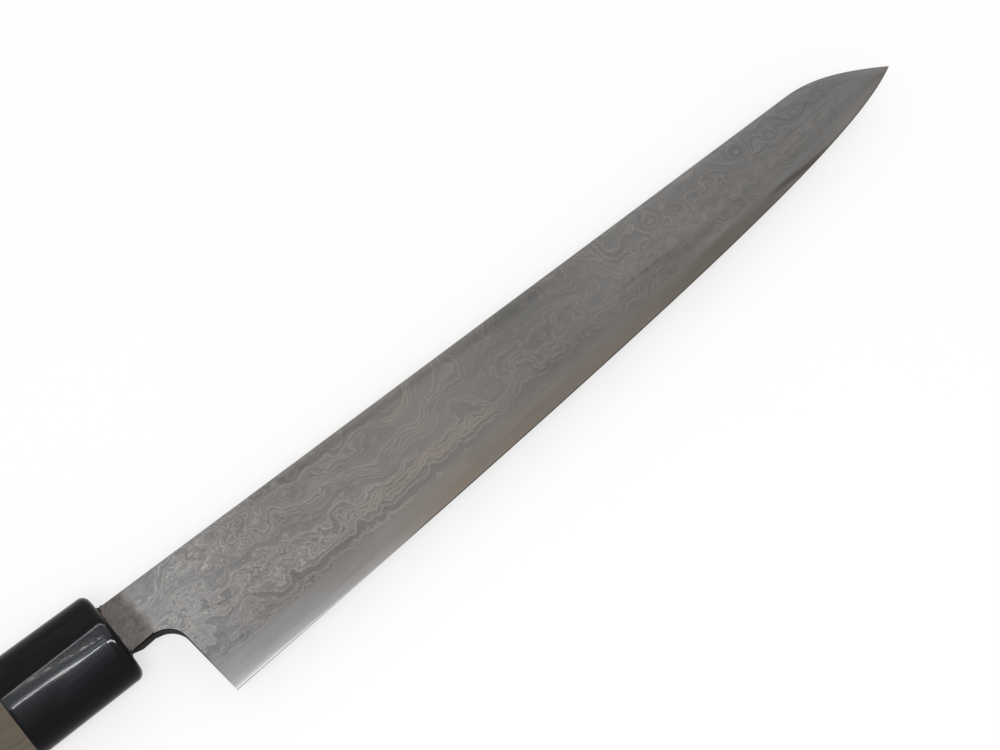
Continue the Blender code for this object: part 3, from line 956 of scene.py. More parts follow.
@dataclass(frozen=True)
class WoodFinish(Finish):
    """Matte magnolia wood with fine grain along the handle and rings on its butt."""

    name: str = "ho_wood"
    light: Colour = (0.126, 0.099, 0.072)
    dark: Colour = (0.070, 0.053, 0.037)
    grey: Colour = (0.092, 0.077, 0.059)
    heart: Span = (38.0, -26.0)
    ring_width: float = 2.3

    def paint(self, graph: Graph) -> Inputs:
        """Return the shader's inputs for the wood.

        Args:
            graph: The material's tree.

        Returns:
            Values or sockets, by name.
        """
        x, y, z = object_place(graph)
        sway = graph.noise(x * 0.012, y * 0.05, z * 0.05, detail=2.0, seed=2.6) * 9.0
        across = y - self.heart[0]
        up = z - self.heart[1]
        ring = (across * across + up * up) ** 0.5 / self.ring_width + sway
        band = ring.fract().ease(0.05, 0.95)
        pore = graph.noise(x * 0.35, y * 7.0, z * 7.0, detail=3.0, roughness=0.6, seed=7.7)
        dash = pore.ease(0.56, 0.70)
        cloud = graph.noise(x * 0.06, y * 0.16, z * 0.16, detail=3.0, seed=9.3)
        wood = graph.blend(self.light, self.dark, band * 0.42 + (cloud - 0.5) * 0.5)
        wood = graph.blend(wood, self.grey, 0.45 + (cloud - 0.5) * 0.6)
        wood = graph.tint(wood, 1.0 - dash * 0.28 + (pore - 0.5) * 0.18)
        return {
            "Base Color": wood,
            "Roughness": 0.70 + dash * 0.15,
            "Specular IOR Level": 0.35,
            "Normal": graph.bump(band * 0.3 - dash * 0.7 + pore * 0.3, 0.05 * MM),
        }


@dataclass(frozen=True)
class PinFinish(Finish):
    """Pale hardwood of the pin, with straight fine grain."""

    name: str = "pin_wood"
    pale: Colour = (0.52, 0.41, 0.27)
    brown: Colour = (0.38, 0.27, 0.16)

    def paint(self, graph: Graph) -> Inputs:
        """Return the shader's inputs for the pin.

        Args:
            graph: The material's tree.

        Returns:
            Values or sockets, by name.
        """
        x, y, z = object_place(graph)
        grain = graph.noise(x * 0.08, y * 2.4, z * 2.4, detail=4.0, roughness=0.6, seed=2.0)
        return {
            "Base Color": graph.blend(self.pale, self.brown, grain.ease(0.35, 0.7)),
            "Roughness": 0.6 + grain * 0.2,
            "Normal": graph.bump(grain, 0.05 * MM),
        }


@dataclass(frozen=True)
class FloorFinish(Finish):
    """Plain matte floor, nearly white, that shows the camera a light shadow only."""

    name: str = "floor"
    white: Colour = (0.95, 0.95, 0.95)
    lift: float = 0.6

    def paint(self, graph: Graph) -> Inputs:
        """Return the shader's inputs for the floor.

        Args:
            graph: The material's tree.

        Returns:
            Values or sockets, by name.
        """
        x, y, _ = object_place(graph)
        speck = graph.noise(x * 0.02, y * 0.02, detail=3.0)
        return {
            "Base Color": graph.tint(self.white, 0.995 + speck * 0.01),
            "Roughness": 0.9,
            "Specular IOR Level": 0.1,
        }

    def material(self) -> Material:
        """Make the material and mix it with plain white where the camera sees it.

        Returns:
            The new material.
        """
        made = super().material()
        graph = Graph(made.node_tree)
        shader = made.node_tree.nodes["Principled BSDF"]
        out = made.node_tree.nodes["Material Output"]
        plain = graph.node("ShaderNodeEmission", None, {"Color": WHITE, "Strength": 1.0})
        both = graph.node("ShaderNodeMixShader", None, {
            0: seen_share(graph) * self.lift, 1: shader.outputs[0], 2: plain.outputs[0]})
        graph.feed(out.inputs["Surface"], both.outputs[0])
        return made


def put_in_scene(name: str, data: bpy.types.ID) -> Object:
    """Add an object to the scene, at the origin.

    Args:
        name: The object's name.
        data: Its mesh, lamp or camera.

    Returns:
        The new object.
    """
    made = bpy.data.objects.new(name, data)
    bpy.context.scene.collection.objects.link(made)
    return made


def new_object(name: str, mesh: Mesh, finish: Material) -> Object:
    """Add a mesh to the scene as an object at the origin, with one material.

    Args:
        name: The object's name.
        mesh: Its mesh, in the knife's own frame.
        finish: Its material.

    Returns:
        The new object.
    """
    made = put_in_scene(name, mesh)
    mesh.materials.clear()
    mesh.materials.append(finish)
    return made


def settle(piece: Object, node: str) -> None:
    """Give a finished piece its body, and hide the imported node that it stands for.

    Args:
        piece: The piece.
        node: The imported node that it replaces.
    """
    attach(piece, "root")
    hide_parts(node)
    LOG.info("%s: %d faces", piece.name, len(piece.data.polygons))


def evaluated_mesh(host: Object) -> Mesh:
    """Return an object's mesh as its modifiers leave it, as a new plain mesh."""
    layers = bpy.context.evaluated_depsgraph_get()
    return bpy.data.meshes.new_from_object(host.evaluated_get(layers), depsgraph=layers)


def finish_mesh(name: str, build: BMesh) -> Mesh:
    """Turn a bmesh into a smooth mesh that is sharp at its corners.

    Args:
        name: The mesh's name.
        build: The bmesh, which is freed.

    Returns:
        The mesh.
    """
    bmesh.ops.remove_doubles(build, verts=build.verts, dist=MERGE_DISTANCE)
    bmesh.ops.recalc_face_normals(build, faces=build.faces)
    mesh = bpy.data.meshes.new(name)
    build.to_mesh(mesh)
    build.free()
    mesh.shade_smooth()
    mesh.set_sharp_from_angle(angle=SHARP_CORNER)
    return mesh


def mark_walls(mesh: Mesh, is_wall: Callable[[bpy.types.MeshPolygon], bool]) -> None:
    """Write the map of the notch's narrow walls, 1 on them and 0 elsewhere.

    Args:
        mesh: The mesh to write it on.
        is_wall: Tells whether a face is such a wall.
    """
    marks = mesh.attributes.new(WALL_MAP, "FLOAT", "CORNER")
    for face in mesh.polygons:
        for loop in face.loop_indices:
            marks.data[loop].value = float(is_wall(face))


def halve(is_before: Callable[[float], bool], halvings: int) -> float:
    """Find by halving the share of a way at which a test turns false.

    Args:
        is_before: The test, which is true up to that share.
        halvings: How often the way is halved.

    Returns:
        The share, from 0 to 1.
    """
    low, high = 0.0, 1.0
    for _ in range(halvings):
        middle = (low + high) / 2
        if is_before(middle):
            low = middle
        else:
            high = middle
    return (low + high) / 2


def cubic(a: float, b: float, c: float, d: float, share: float) -> float:
    """Return a cubic Bezier curve's value at a share of its way."""
    left = 1.0 - share
    return left ** 3 * a + 3 * left * share * (left * b + share * c) + share ** 3 * d


@lru_cache(maxsize=None)
def cubic_height(corners: tuple[Span, ...], x: float) -> float:
    """Return the height of a cubic Bezier curve above a place on X."""
    across, up = zip(*corners)
    return cubic(*up, halve(lambda share: cubic(*across, share) < x, CURVE_HALVINGS))


@dataclass
class BladeShape:
    """Outline and thickness of the blade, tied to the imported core's own corners."""

    edge_heel_angle: float = math.radians(3.5)
    edge_heel_reach: float = 155.0 * MM
    edge_point_angle: float = math.radians(25.5)
    edge_point_reach: float = 24.0 * MM
    point_drop: float = 10.6 * MM
    shoulder_to_point: float = 28.5 * MM
    shoulder_reach: float = 9.0 * MM
    point_angle: float = math.radians(32.0)
    point_reach: float = 12.5 * MM
    weld_to_heel: float = 7.0 * MM
    choil_radius: float = 6.0 * MM
    heel_face_lean: float = math.radians(5.0)
    neck_height: float = 14.2 * MM
    neck_rise: float = 0.5 * MM
    point_thickness: float = 1.5 * MM
    core_neck: float = 1.5 * MM
    core_point: float = 0.6 * MM
    core_band: float = 7.5 * MM
    flat_height: float = 14.0 * MM
    grind_power: float = 1.25
    bevel_height: float = 0.7 * MM
    bevel_thickness: float = 0.26 * MM
    spine_round: float = 0.6 * MM
    fade_height: float = 13.0 * MM
    lip: float = 0.16 * MM
    fan_out: float = 6.0 * MM
    fan_length: float = 80.0 * MM
    round_limit: float = 0.8
    choil_arc_steps: int = 16
    heel_face_steps: int = 14
    point_crowding: float = 1.35
    weld_x: float = field(init=False)
    heel_x: float = field(init=False)
    point_x: float = field(init=False)
    heel_y: float = field(init=False)
    spine_y: float = field(init=False)
    neck_half: float = field(init=False)
    face_x: float = field(init=False)
    edge_curve: tuple[Span, ...] = field(init=False)
    shoulder_curve: tuple[Span, ...] = field(init=False)

    def __post_init__(self) -> None:
        """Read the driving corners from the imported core, tang and ferrule."""
        low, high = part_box("core_steel")
        self.weld_x, self.heel_y = low.x, low.y
        self.point_x, self.spine_y = high.x, high.y
        self.heel_x = self.weld_x + self.weld_to_heel
        self.neck_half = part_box("tang")[1].z
        self.face_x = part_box("ferrule")[1].x
        point_y = self.spine_y - self.point_drop
        turn, reach = self.edge_point_angle, self.edge_point_reach
        self.edge_curve = (
            (self.heel_x, self.heel_y),
            (self.heel_x + self.edge_heel_reach,
             self.heel_y + self.edge_heel_reach * math.tan(self.edge_heel_angle)),
            (self.point_x - reach * math.cos(turn), point_y - reach * math.sin(turn)),
            (self.point_x, point_y),
        )
        start = self.point_x - self.shoulder_to_point
        turn, reach = self.point_angle, self.point_reach
        self.shoulder_curve = (
            (start, self.spine_y),
            (start + self.shoulder_reach, self.spine_y),
            (self.point_x - reach * math.cos(turn), point_y + reach * math.sin(turn)),
            (self.point_x, point_y),
        )

    def edge(self, x: float) -> float:
        """Return the height of the cutting edge, straight on behind the heel."""
        straight = self.heel_y + (x - self.heel_x) * math.tan(self.edge_heel_angle)
        return straight if x <= self.heel_x else cubic_height(self.edge_curve, x)

    def spine(self, x: float) -> float:
        """Return the height of the spine, straight up to the shoulder."""
        straight = x <= self.point_x - self.shoulder_to_point
        return self.spine_y if straight else cubic_height(self.shoulder_curve, x)

    def fade(self, x: float) -> float:
        """Return how much of its full thickness the blade has at x, less at the point."""
        return min(1.0, (self.spine(x) - self.edge(x)) / self.fade_height)

    def share(self, x: float) -> float:
        """Return how far x is on its way from the weld to the point."""
        return (x - self.weld_x) / (self.point_x - self.weld_x)

    def narrowing(self, x: float) -> float:
        """Return the blade's height at x as a share of its height at the heel."""
        return (self.spine(x) - self.edge(x)) / (self.spine_y - self.heel_y)

    def core_half(self, x: float) -> float:
        """Return half the thickness of the core at x."""
        return self.fade(x) * mix(self.core_neck, self.core_point, self.share(x)) / 2

    def spine_half(self, x: float) -> float:
        """Return half the thickness of the whole blade at x, under the spine."""
        ends = 2 * self.neck_half, self.point_thickness
        return self.fade(x) * mix(*ends, self.share(x)) / 2

    def band(self, x: float) -> float:
        """Return the height on Y at which the cladding starts."""
        return self.edge(x) + self.core_band * self.narrowing(x)

    def bevel(self, x: float) -> float:
        """Return the height on Y at which the honed edge ends."""
        return self.edge(x) + self.bevel_height * self.fade(x)

    def half_thickness(self, x: float, y: float) -> float:
        """Return how far the ground side is from the middle plane.

        Args:
            x: Place on X.
            y: Height on Y, from the cutting edge to the spine.

        Returns:
            Half the thickness there.
        """
        above = y - self.edge(x)
        bevel = self.bevel_height * self.fade(x)
        band = self.core_band * self.narrowing(x)
        flat = (self.spine_y - self.heel_y - self.flat_height) * self.narrowing(x)
        bevel_half = self.bevel_thickness * self.fade(x) / 2
        if above <= bevel:
            return bevel_half * above / bevel if bevel > 0 else 0.0
        if above <= band:
            return mix(bevel_half, self.core_half(x), (above - bevel) / (band - bevel))
        share = min(1.0, (above - band) / (flat - band)) if flat > band else 1.0
        rise = 1 - (1 - share) ** self.grind_power
        return mix(self.core_half(x), self.spine_half(x), rise)

    def round(self, x: float) -> float:
        """Return the radius of the spine's corner at x."""
        cladding = self.spine_half(x) - self.core_half(x)
        return min(self.fade(x) * self.spine_round, self.round_limit * cladding)

    def neck_underside(self, x: float) -> float:
        """Return the height of the neck's lower face, which rises ahead of the ferrule."""
        rise = self.neck_rise * (x - self.face_x) / (self.weld_x - self.face_x)
        return self.spine_y - self.neck_height + max(0.0, rise)

    def choil_path(self, foot: Line) -> list[Vector]:
        """Follow the notch from the weld, round its corner and down the heel's face.

        Args:
            foot: Height on Y at which the path ends, as a function of x.

        Returns:
            The points of the path.
        """
        slope = self.neck_rise / (self.weld_x - self.face_x)
        lean = math.tan(self.heel_face_lean)
        start = Vector((self.weld_x, self.neck_underside(self.weld_x)))
        corner_x = (self.heel_x - lean * (start.y - slope * start.x - self.heel_y))
        corner_x /= 1 + lean * slope
        corner = Vector((corner_x, start.y + slope * (corner_x - start.x)))
        back = (start - corner).normalized()
        down = (Vector((self.heel_x, self.heel_y)) - corner).normalized()
        half = back.angle(down) / 2
        centre = corner + (back + down).normalized() * self.choil_radius / math.sin(half)
        first = corner + back * self.choil_radius / math.tan(half)
        last = corner + down * self.choil_radius / math.tan(half)
        turn_first = math.atan2(first.y - centre.y, first.x - centre.x)
        turn_last = math.atan2(last.y - centre.y, last.x - centre.x)
        path = []
        for step in range(self.choil_arc_steps + 1):
            turn = mix(turn_first, turn_last, step / self.choil_arc_steps)
            place = centre + self.choil_radius * Vector((math.cos(turn), math.sin(turn)))
            if place.x > self.weld_x:
                path.append(place)
        path.insert(0, Vector((self.weld_x, self.neck_at_weld(centre, first))))
        for step in range(1, self.heel_face_steps + 1):
            y = mix(last.y, foot(self.heel_x), step / self.heel_face_steps)
            path.append(Vector((self.heel_x - lean * (y - self.heel_y), y)))
        return path

    def neck_at_weld(self, centre: Vector, first: Vector) -> float:
        """Return the notch's height at the weld, on its arc if that starts behind it."""
        rise = max(0.0, self.choil_radius ** 2 - (self.weld_x - centre.x) ** 2)
        on_arc = first.x < self.weld_x
        return centre.y + math.sqrt(rise) if on_arc else self.neck_underside(self.weld_x)

    def map_places(self, mesh: Mesh) -> None:
        """Write the blade map: millimetres ahead of the heel, above the edge, below the spine.

        Args:
            mesh: The mesh to write it on.
        """
        places = mesh.attributes.new(BLADE_MAP, "FLOAT_VECTOR", "POINT")
        for vertex, place in zip(mesh.vertices, places.data):
            x, y, _ = vertex.co
            ahead, above, below = x - self.heel_x, y - self.edge(x), self.spine(x) - y
            place.vector = (ahead / MM, above / MM, below / MM)

    def columns(self, foot: Line, steps: int) -> list[tuple[Vector, Vector]]:
        """Lay columns over the blade's side, from its lower border to the spine.

        Args:
            foot: Height of the lower border ahead of the heel, as a function of x.
            steps: Number of columns ahead of the heel.

        Returns:
            The lower and upper end of each column, the last one next to the point.
        """
        low = self.choil_path(foot)
        made = []
        for index, place in enumerate(low):
            x = mix(self.weld_x, low[-1].x + self.fan_out, index / (len(low) - 1))
            made.append((place, Vector((x, self.spine(x)))))
        start = low[-1].x
        for step in range(1, steps):
            share = 1 - (1 - step / steps) ** self.point_crowding
            x = mix(start, self.point_x, share)
            lead = self.fan_out * max(0.0, 1 - (x - start) / self.fan_length) ** 2
            top = min(x + lead, self.point_x)
            made.append((Vector((x, foot(x))), Vector((top, self.spine(top)))))
        return made


@dataclass
class Blade:
    """The three forge-welded layers of the blade."""

    shape: BladeShape
    steps: int = 170
    side_rows: int = 30
    corner_rows: int = 4
    least_row: float = 0.0012

    def skin(self, name: str, foot: Line, breaks: list[Line],
             outside: Field, inside: Field, rounded: bool) -> Mesh:
        """Close a body between two height fields over the same columns.

        Args:
            name: The mesh's name.
            foot: Height of the lower border, as a function of x.
            breaks: Lines, as functions of x, that rows follow as creases.
            outside: Height on Z of the outer face at a place.
            inside: Height on Z of the inner face at a place.
            rounded: Whether the outer face rounds over at the spine and at the choil.

        Returns:
            The mesh, with its maps.
        """
        shape = self.shape
        build = bmesh.new()
        columns = shape.columns(foot, self.steps)
        choil_count = len(columns) - self.steps + 1
        outer, inner = [], []
        for index, (low, top) in enumerate(columns):
            rows = self.column_rows(low, top, breaks, rounded, index < choil_count)
            places = [(low.lerp(top, share), drop) for share, drop in rows]
            outer.append([build.verts.new((p.x, p.y, self.pressed(outside(p.x, p.y), drop)))
                          for p, drop in places])
            inner.append([build.verts.new((p.x, p.y, inside(p.x, p.y))) for p, _ in places])
        for index in range(len(columns) - 1):
            at_choil = index < choil_count - 1
            (out, out_next), (back, back_next) = outer[index:index + 2], inner[index:index + 2]
            for row in range(len(out) - 1):
                for here, ahead in ((out, out_next), (back, back_next)):
                    side = build.faces.new((here[row], ahead[row], ahead[row + 1], here[row + 1]))
                    side.material_index = int(rounded and row == 0 and at_choil)
            wall = build.faces.new((out[0], out_next[0], back_next[0], back[0]))
            wall.material_index = int(at_choil)
            build.faces.new((out[-1], out_next[-1], back_next[-1], back[-1]))
        out, back = outer[0], inner[0]
        for row in range(len(out) - 1):
            build.faces.new((out[row], out[row + 1], back[row + 1], back[row]))
        point = build.verts.new((shape.point_x, shape.edge(shape.point_x), 0.0))
        last = [*outer[-1], *reversed(inner[-1])]
        for index, corner in enumerate(last):
            build.faces.new((corner, last[(index + 1) % len(last)], point))
        mesh = finish_mesh(name, build)
        shape.map_places(mesh)
        mark_walls(mesh, lambda face: face.material_index == 1)
        for face in mesh.polygons:
            face.material_index = 0
        return mesh

    def pressed(self, z: float, drop: float) -> float:
        """Return a height on Z, moved towards the middle plane."""
        return z - drop if z >= 0 else z + drop

    def column_rows(self, low: Vector, top: Vector, breaks: list[Line], rounded: bool,
                    in_choil: bool) -> list[Span]:
        """Set the rows of one column.

        Args:
            low: Lower end of the column.
            top: Upper end of the column.
            breaks: Lines, as functions of x, that rows follow.
            rounded: Whether the corners at spine and choil are rounded.
            in_choil: Whether the lower end lies on the choil.

        Returns:
            Share of the way up and drop towards the middle plane, for each row.
        """
        shape, least = self.shape, self.least_row
        length = (top - low).length
        rows = [(0.0, 0.0)]
        for line in breaks:
            share = halve(lambda part: self.is_under(low.lerp(top, part), line), CROSSING_HALVINGS)
            rows.append((max(share, rows[-1][0] + least), 0.0))
        if rounded:
            lip = shape.lip if in_choil else 0.0
            rows = [(0.0, lip), (max(least, lip / length), 0.0)]
        start = rows[-1][0]
        radius = shape.round(top.x) if rounded else 0.0
        end = 1.0 - radius / length
        count = self.side_rows
        rows += [(mix(start, end, step / count), 0.0) for step in range(1, count + 1)]
        if rounded:
            for step in range(1, self.corner_rows + 1):
                turn = QUARTER_TURN * step / self.corner_rows
                share = 1.0 - radius * (1 - math.sin(turn)) / length
                rows.append((share, radius * (1 - math.cos(turn))))
        return rows

    def is_under(self, place: Vector, line: Line) -> bool:
        """Tell whether a place lies under a line."""
        return place.y < line(place.x)

    def add_cladding(self, side: Side, finish: Material) -> None:
        """Build and dress one cladding.

        Args:
            side: Side of the blade that it is on.
            finish: Its material.
        """
        shape = self.shape
        name = f"cladding_{side.name.lower()}"
        mesh = self.skin(name, shape.band, [], lambda x, y: side.value * shape.half_thickness(x, y),
                         lambda x, y: side.value * shape.core_half(x), rounded=True)
        settle(new_object(f"{name}_damascus", mesh, finish), name)

    def add_core(self, finish: Material) -> None:
        """Build and dress the core.

        Args:
            finish: Its material.
        """
        shape = self.shape

        def half(x: float, y: float) -> float:
            """Return the core's half thickness at a place."""
            return min(shape.half_thickness(x, y), shape.core_half(x))

        mesh = self.skin("core", shape.edge, [shape.bevel, shape.band],
                         half, lambda x, y: -half(x, y), rounded=False)
        settle(new_object("core_honed_edge", mesh, finish), "core_steel")

    def build(self) -> None:
        """Build the three layers."""
        damascus = DamascusFinish().material()
        self.add_core(CoreFinish().material())
        for side in Side:
            self.add_cladding(side, damascus)


@dataclass
class Neck:
    """Plain iron neck and the tang that it narrows to inside the handle."""

    shape: BladeShape
    corner: float = 0.5 * MM
    corner_steps: int = 7
    tang_end_height: float = 4.6 * MM
    tang_root_height: float = 8.4 * MM
    tang_end_thickness: float = 2.0 * MM
    tang_root_thickness: float = 3.2 * MM
    shoulder_behind_face: float = 3.3 * MM
    shoulder_length: float = 2.5 * MM
    underside_lean: float = -0.2
    filed_depth: float = 1.0 * MM
    filed_length: float = 3.1 * MM
    tang_rings: int = 8
    neck_rings: int = 36

    def section(self, x: float, low: float, high: float, half: float,
                spread: float = 0.0, filed: float = 0.0) -> list[Point]:
        """Return a rectangle with round corners, across X.

        Args:
            x: Place of the section.
            low: Its lowest height on Y.
            high: Its greatest height on Y.
            half: Half its thickness on Z.
            spread: How much larger than that it is all round.
            filed: How far its lower corner on the left is raised.

        Returns:
            The points of the section, in order.
        """
        radius, ring = self.corner + spread, []
        low, high, half = low - spread, high + spread, half + spread
        centres = ((high - radius, half - radius), (low + radius, half - radius),
                   (low + radius + filed, radius - half), (high - radius, radius - half))
        for quarter, (y, z) in enumerate(centres):
            for step in range(self.corner_steps + 1):
                turn = QUARTER_TURN * (quarter + step / self.corner_steps)
                ring.append((x, y + radius * math.cos(turn), z + radius * math.sin(turn)))
        return ring

    def neck_section(self, x: float, spread: float = 0.0) -> list[Point]:
        """Return the neck's section at x, or that of the slot round it.

        Args:
            x: Place of the section.
            spread: How much larger than the neck it is all round.

        Returns:
            The points of the section, in order.
        """
        shape = self.shape
        ahead = max(0.0, x - shape.face_x) / self.filed_length
        filed = self.filed_depth * max(0.0, 1.0 - ahead)
        return self.section(x, shape.neck_underside(x), shape.spine_y, shape.neck_half,
                            spread, filed)

    def tang_section(self, x: float, end: float, root: float) -> list[Point]:
        """Return the tang's section at x.

        Args:
            x: Place of the section.
            end: Where the tang ends on X, inside the handle.
            root: Where it starts at the neck's shoulder.

        Returns:
            The points of the section, in order.
        """
        share = (x - end) / (root - end)
        half_height = mix(self.tang_end_height, self.tang_root_height, share) / 2
        half = mix(self.tang_end_thickness, self.tang_root_thickness, share) / 2
        return self.section(x, -half_height, half_height, half)

    def build(self) -> None:
        """Build and dress the neck with its tang."""
        shape = self.shape
        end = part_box("tang")[0].x
        shoulder = shape.face_x - self.shoulder_behind_face
        root = shoulder - self.shoulder_length
        rings = [self.tang_section(mix(end, root, step / self.tang_rings), end, root)
                 for step in range(self.tang_rings + 1)]
        rings += [self.neck_section(mix(shoulder, shape.weld_x, step / self.neck_rings))
                  for step in range(self.neck_rings + 1)]
        mesh = finish_mesh("tang", loft(rings))
        shape.map_places(mesh)
        mark_walls(mesh, lambda face: face.center.x > shape.face_x
                   and face.normal.y < self.underside_lean)
        settle(new_object("neck_and_tang", mesh, IronFinish().material()), "tang")


def loft(rings: Sequence[Sequence[Point]], closed: bool = True) -> BMesh:
    """Join rings of points to a body.

    Args:
        rings: Rings with as many points each.
        closed: Whether the first and last ring are filled.

    Returns:
        The bmesh of the body.
    """
    build = bmesh.new()
    corners = [[build.verts.new(point) for point in ring] for ring in rings]
    for first, second in zip(corners, corners[1:]):
        for index in range(len(first)):
            after = (index + 1) % len(first)
            build.faces.new((first[index], first[after], second[after], second[index]))
    if closed:
        build.faces.new(corners[0])
        build.faces.new(corners[-1])
    return build


@dataclass
class NodeTree:
    """Geometry node tree with named inputs, and the way it is baked to a mesh."""

    name: str
    sizes: dict[str, float]

    def __post_init__(self) -> None:
        """Start the tree with its inputs and its output."""
        self.tree = bpy.data.node_groups.new(self.name, "GeometryNodeTree")
        sides = self.tree.interface
        sides.new_socket("Geometry", in_out="INPUT", socket_type="NodeSocketGeometry")
        for name, size in self.sizes.items():
            kind = "NodeSocketInt" if isinstance(size, int) else "NodeSocketFloat"
            sides.new_socket(name, in_out="INPUT", socket_type=kind)
        sides.new_socket("Finish", in_out="INPUT", socket_type="NodeSocketMaterial")
        sides.new_socket("Geometry", in_out="OUTPUT", socket_type="NodeSocketGeometry")
        self.graph = Graph(self.tree)
        self.source = self.graph.node("NodeGroupInput")

    def size(self, name: str) -> Value:
        """Return one of the tree's inputs as a number."""
        return Value(self.graph, self.source.outputs[name])

    def close(self, geometry: NodeSocket) -> None:
        """End the tree: make instances real, set the finish and put the result out.

        Args:
            geometry: Socket of what the tree has made.
        """
        graph = self.graph
        real = graph.node("GeometryNodeRealizeInstances", None, {"Geometry": geometry})
        done = graph.node("GeometryNodeSetMaterial", None,
                          {"Geometry": real.outputs[0], "Material": self.source.outputs["Finish"]})
        graph.node("NodeGroupOutput", None, {"Geometry": done.outputs[0]})

    def bake(self, name: str, finish: Material, start: Mesh | None = None) -> Mesh:
        """Run the tree on a mesh and return the result as a plain mesh.

        Args:
            name: Name of the mesh that is made.
            finish: Material that the tree sets.
            start: Mesh that goes into the tree, if it needs one.

        Returns:
            The new mesh.
        """
        host = new_object(name, start or bpy.data.meshes.new(name), finish)
        modifier = host.modifiers.new(self.name, "NODES")
        modifier.node_group = self.tree
        terms = {**self.sizes, "Finish": finish}
        for item in self.tree.interface.items_tree:
            if item.in_out == "INPUT" and item.name in terms:
                modifier[item.identifier] = terms[item.name]
        made = evaluated_mesh(host)
        host.modifiers.remove(modifier)
        bpy.data.objects.remove(host)
        made.name = name
        return made


@dataclass
class HandleSection:
    """D section of the handle: the hull of three circles, tapering from butt to front."""

    length: float = 140.0 * MM
    butt_height: float = 27.88 * MM
    front_height: float = 24.5 * MM
    butt_side: float = 9.4 * MM
    front_side: float = 8.5 * MM
    butt_reach: float = 12.1 * MM
    front_reach: float = 11.0 * MM
    ridge_drop: float = 0.8 * MM
    crown: float = math.radians(1.6)
    low_crown: float = math.radians(6.0)
    arc_points: int = 24
    side_points: int = 8
    rim_rings: int = 9
    rings: int = 46

    def body(self, name: str, back: float, front: float, rims: Span,
             ridges: Span, finish: Material) -> Mesh:
        """Make a closed length of the handle with Geometry Nodes.

        Args:
            name: Name of the mesh.
            back: Where the length starts on X.
            front: Where it ends on X.
            rims: Radius of its rim at the back and at the front.
            ridges: Radius of its ridge at the back and at the front.
            finish: Its material.

        Returns:
            The mesh.
        """
        sizes = {"Back": back, "Front": front, "Back rim": rims[0], "Front rim": rims[1],
                 "Back ridge": ridges[0], "Front ridge": ridges[1]}
        for own_size in ("crown", "low_crown", "length", "butt_height", "front_height",
                             "butt_side", "front_side", "butt_reach", "front_reach", "ridge_drop"):
            sizes[own_size.replace("_", " ").capitalize()] = getattr(self, own_size)
        tree = NodeTree(f"{name}_section", sizes)
        graph = tree.graph
        around = 3 * (self.arc_points + self.side_points)
        index = graph.number("GeometryNodeInputIndex")
        ring = graph.maths("FLOOR", (index + 0.5) / around)
        spot = index - ring * around
        front_turn = (ring / self.rim_rings).least(1.0) * QUARTER_TURN
        back_turn = ((self.rings - ring) / self.rim_rings).least(1.0) * QUARTER_TURN
        straight = (ring - self.rim_rings) / (self.rings - 2.0 * self.rim_rings)
        straight = 1.0 - straight.least(1.0).most(0.0)
        back_rim, front_rim = tree.size("Back rim"), tree.size("Front rim")
        x = mix(tree.size("Back") + back_rim, tree.size("Front") - front_rim, straight)
        x = x + front_rim * front_turn.cos() - back_rim * back_turn.cos()
        inset = front_rim * (1.0 - front_turn.sin()) + back_rim * (1.0 - back_turn.sin())
        ridge = mix(tree.size("Back ridge"), tree.size("Front ridge"), straight)
        y, z = self.outline(tree, x / tree.size("Length"), spot, inset, ridge)
        tube = graph.node("GeometryNodeMeshCylinder", {"fill_type": "NGON"},
                          {"Vertices": around, "Side Segments": self.rings})
        moved = graph.node("GeometryNodeSetPosition", None,
                           {"Geometry": tube.outputs["Mesh"], "Position": graph.vector(x, y, z)})
        tree.close(moved.outputs[0])
        return tree.bake(name, finish)

    def outline(self, tree: NodeTree, share: Value, spot: Value, inset: Value,
                ridge: Value) -> Spot:
        """Return the place on Y and Z of a point of the outline.

        Args:
            tree: The tree that the values are in.
            share: How far the section is from the butt to the handle's front.
            spot: Number of the point, counted round the outline.
            inset: How far the outline is drawn in.
            ridge: Radius of the ridge at the section.

        Returns:
            The place on Y and the place on Z.
        """
        graph = tree.graph

        def taper(name: str) -> Value:
            """Return a size at the section, between its butt and front values."""
            return mix(tree.size(f"Butt {name}"), tree.size(f"Front {name}"), share)

        side = taper("side")
        offset = taper("height") / 2 - side
        none = side * 0.0
        order = ((offset, none, side), (-tree.size("Ridge drop"), taper("reach") - ridge, ridge),
                 (-offset, none, side))
        starts = [self.tangent(graph, order[place - 1], order[place]) for place in range(3)]
        crowns = (tree.size("Crown"), tree.size("Low crown"), none)
        points = self.arc_points + self.side_points
        part = graph.maths("FLOOR", (spot + 0.5) / points)
        local = spot - part * points
        on_side = graph.maths("GREATER_THAN", local, self.arc_points - 0.5)
        arc_share = (local / (self.arc_points - 1.0)).least(1.0)
        side_share = (local - (self.arc_points - 1.0)) / (self.side_points + 1.0)
        y, z = none, none
        for place, circle in enumerate(order):
            after = (place + 1) % 3
            sweep = graph.maths("FLOORED_MODULO", starts[after] - starts[place], 2 * math.pi)
            first = starts[place] + crowns[place - 1]
            last = starts[place] + sweep - crowns[place]
            begin = starts[place] + sweep + crowns[place]
            arc = self.spot_on(circle, mix(first, last, arc_share), inset)
            flat = self.crowned(self.spot_on(circle, last, inset),
                                self.spot_on(order[after], begin, inset), (last, begin), side_share)
            chosen = graph.maths("COMPARE", part, float(place), 0.5)
            y = y + chosen * mix(arc[0], flat[0], on_side)
            z = z + chosen * mix(arc[1], flat[1], on_side)
        return y, z

    def spot_on(self, circle: Circle, turn: Value, inset: Value) -> Spot:
        """Return the place on a circle of the section, drawn in by the inset."""
        reach = circle[2] - inset
        return circle[0] + reach * turn.cos(), circle[1] + reach * turn.sin()

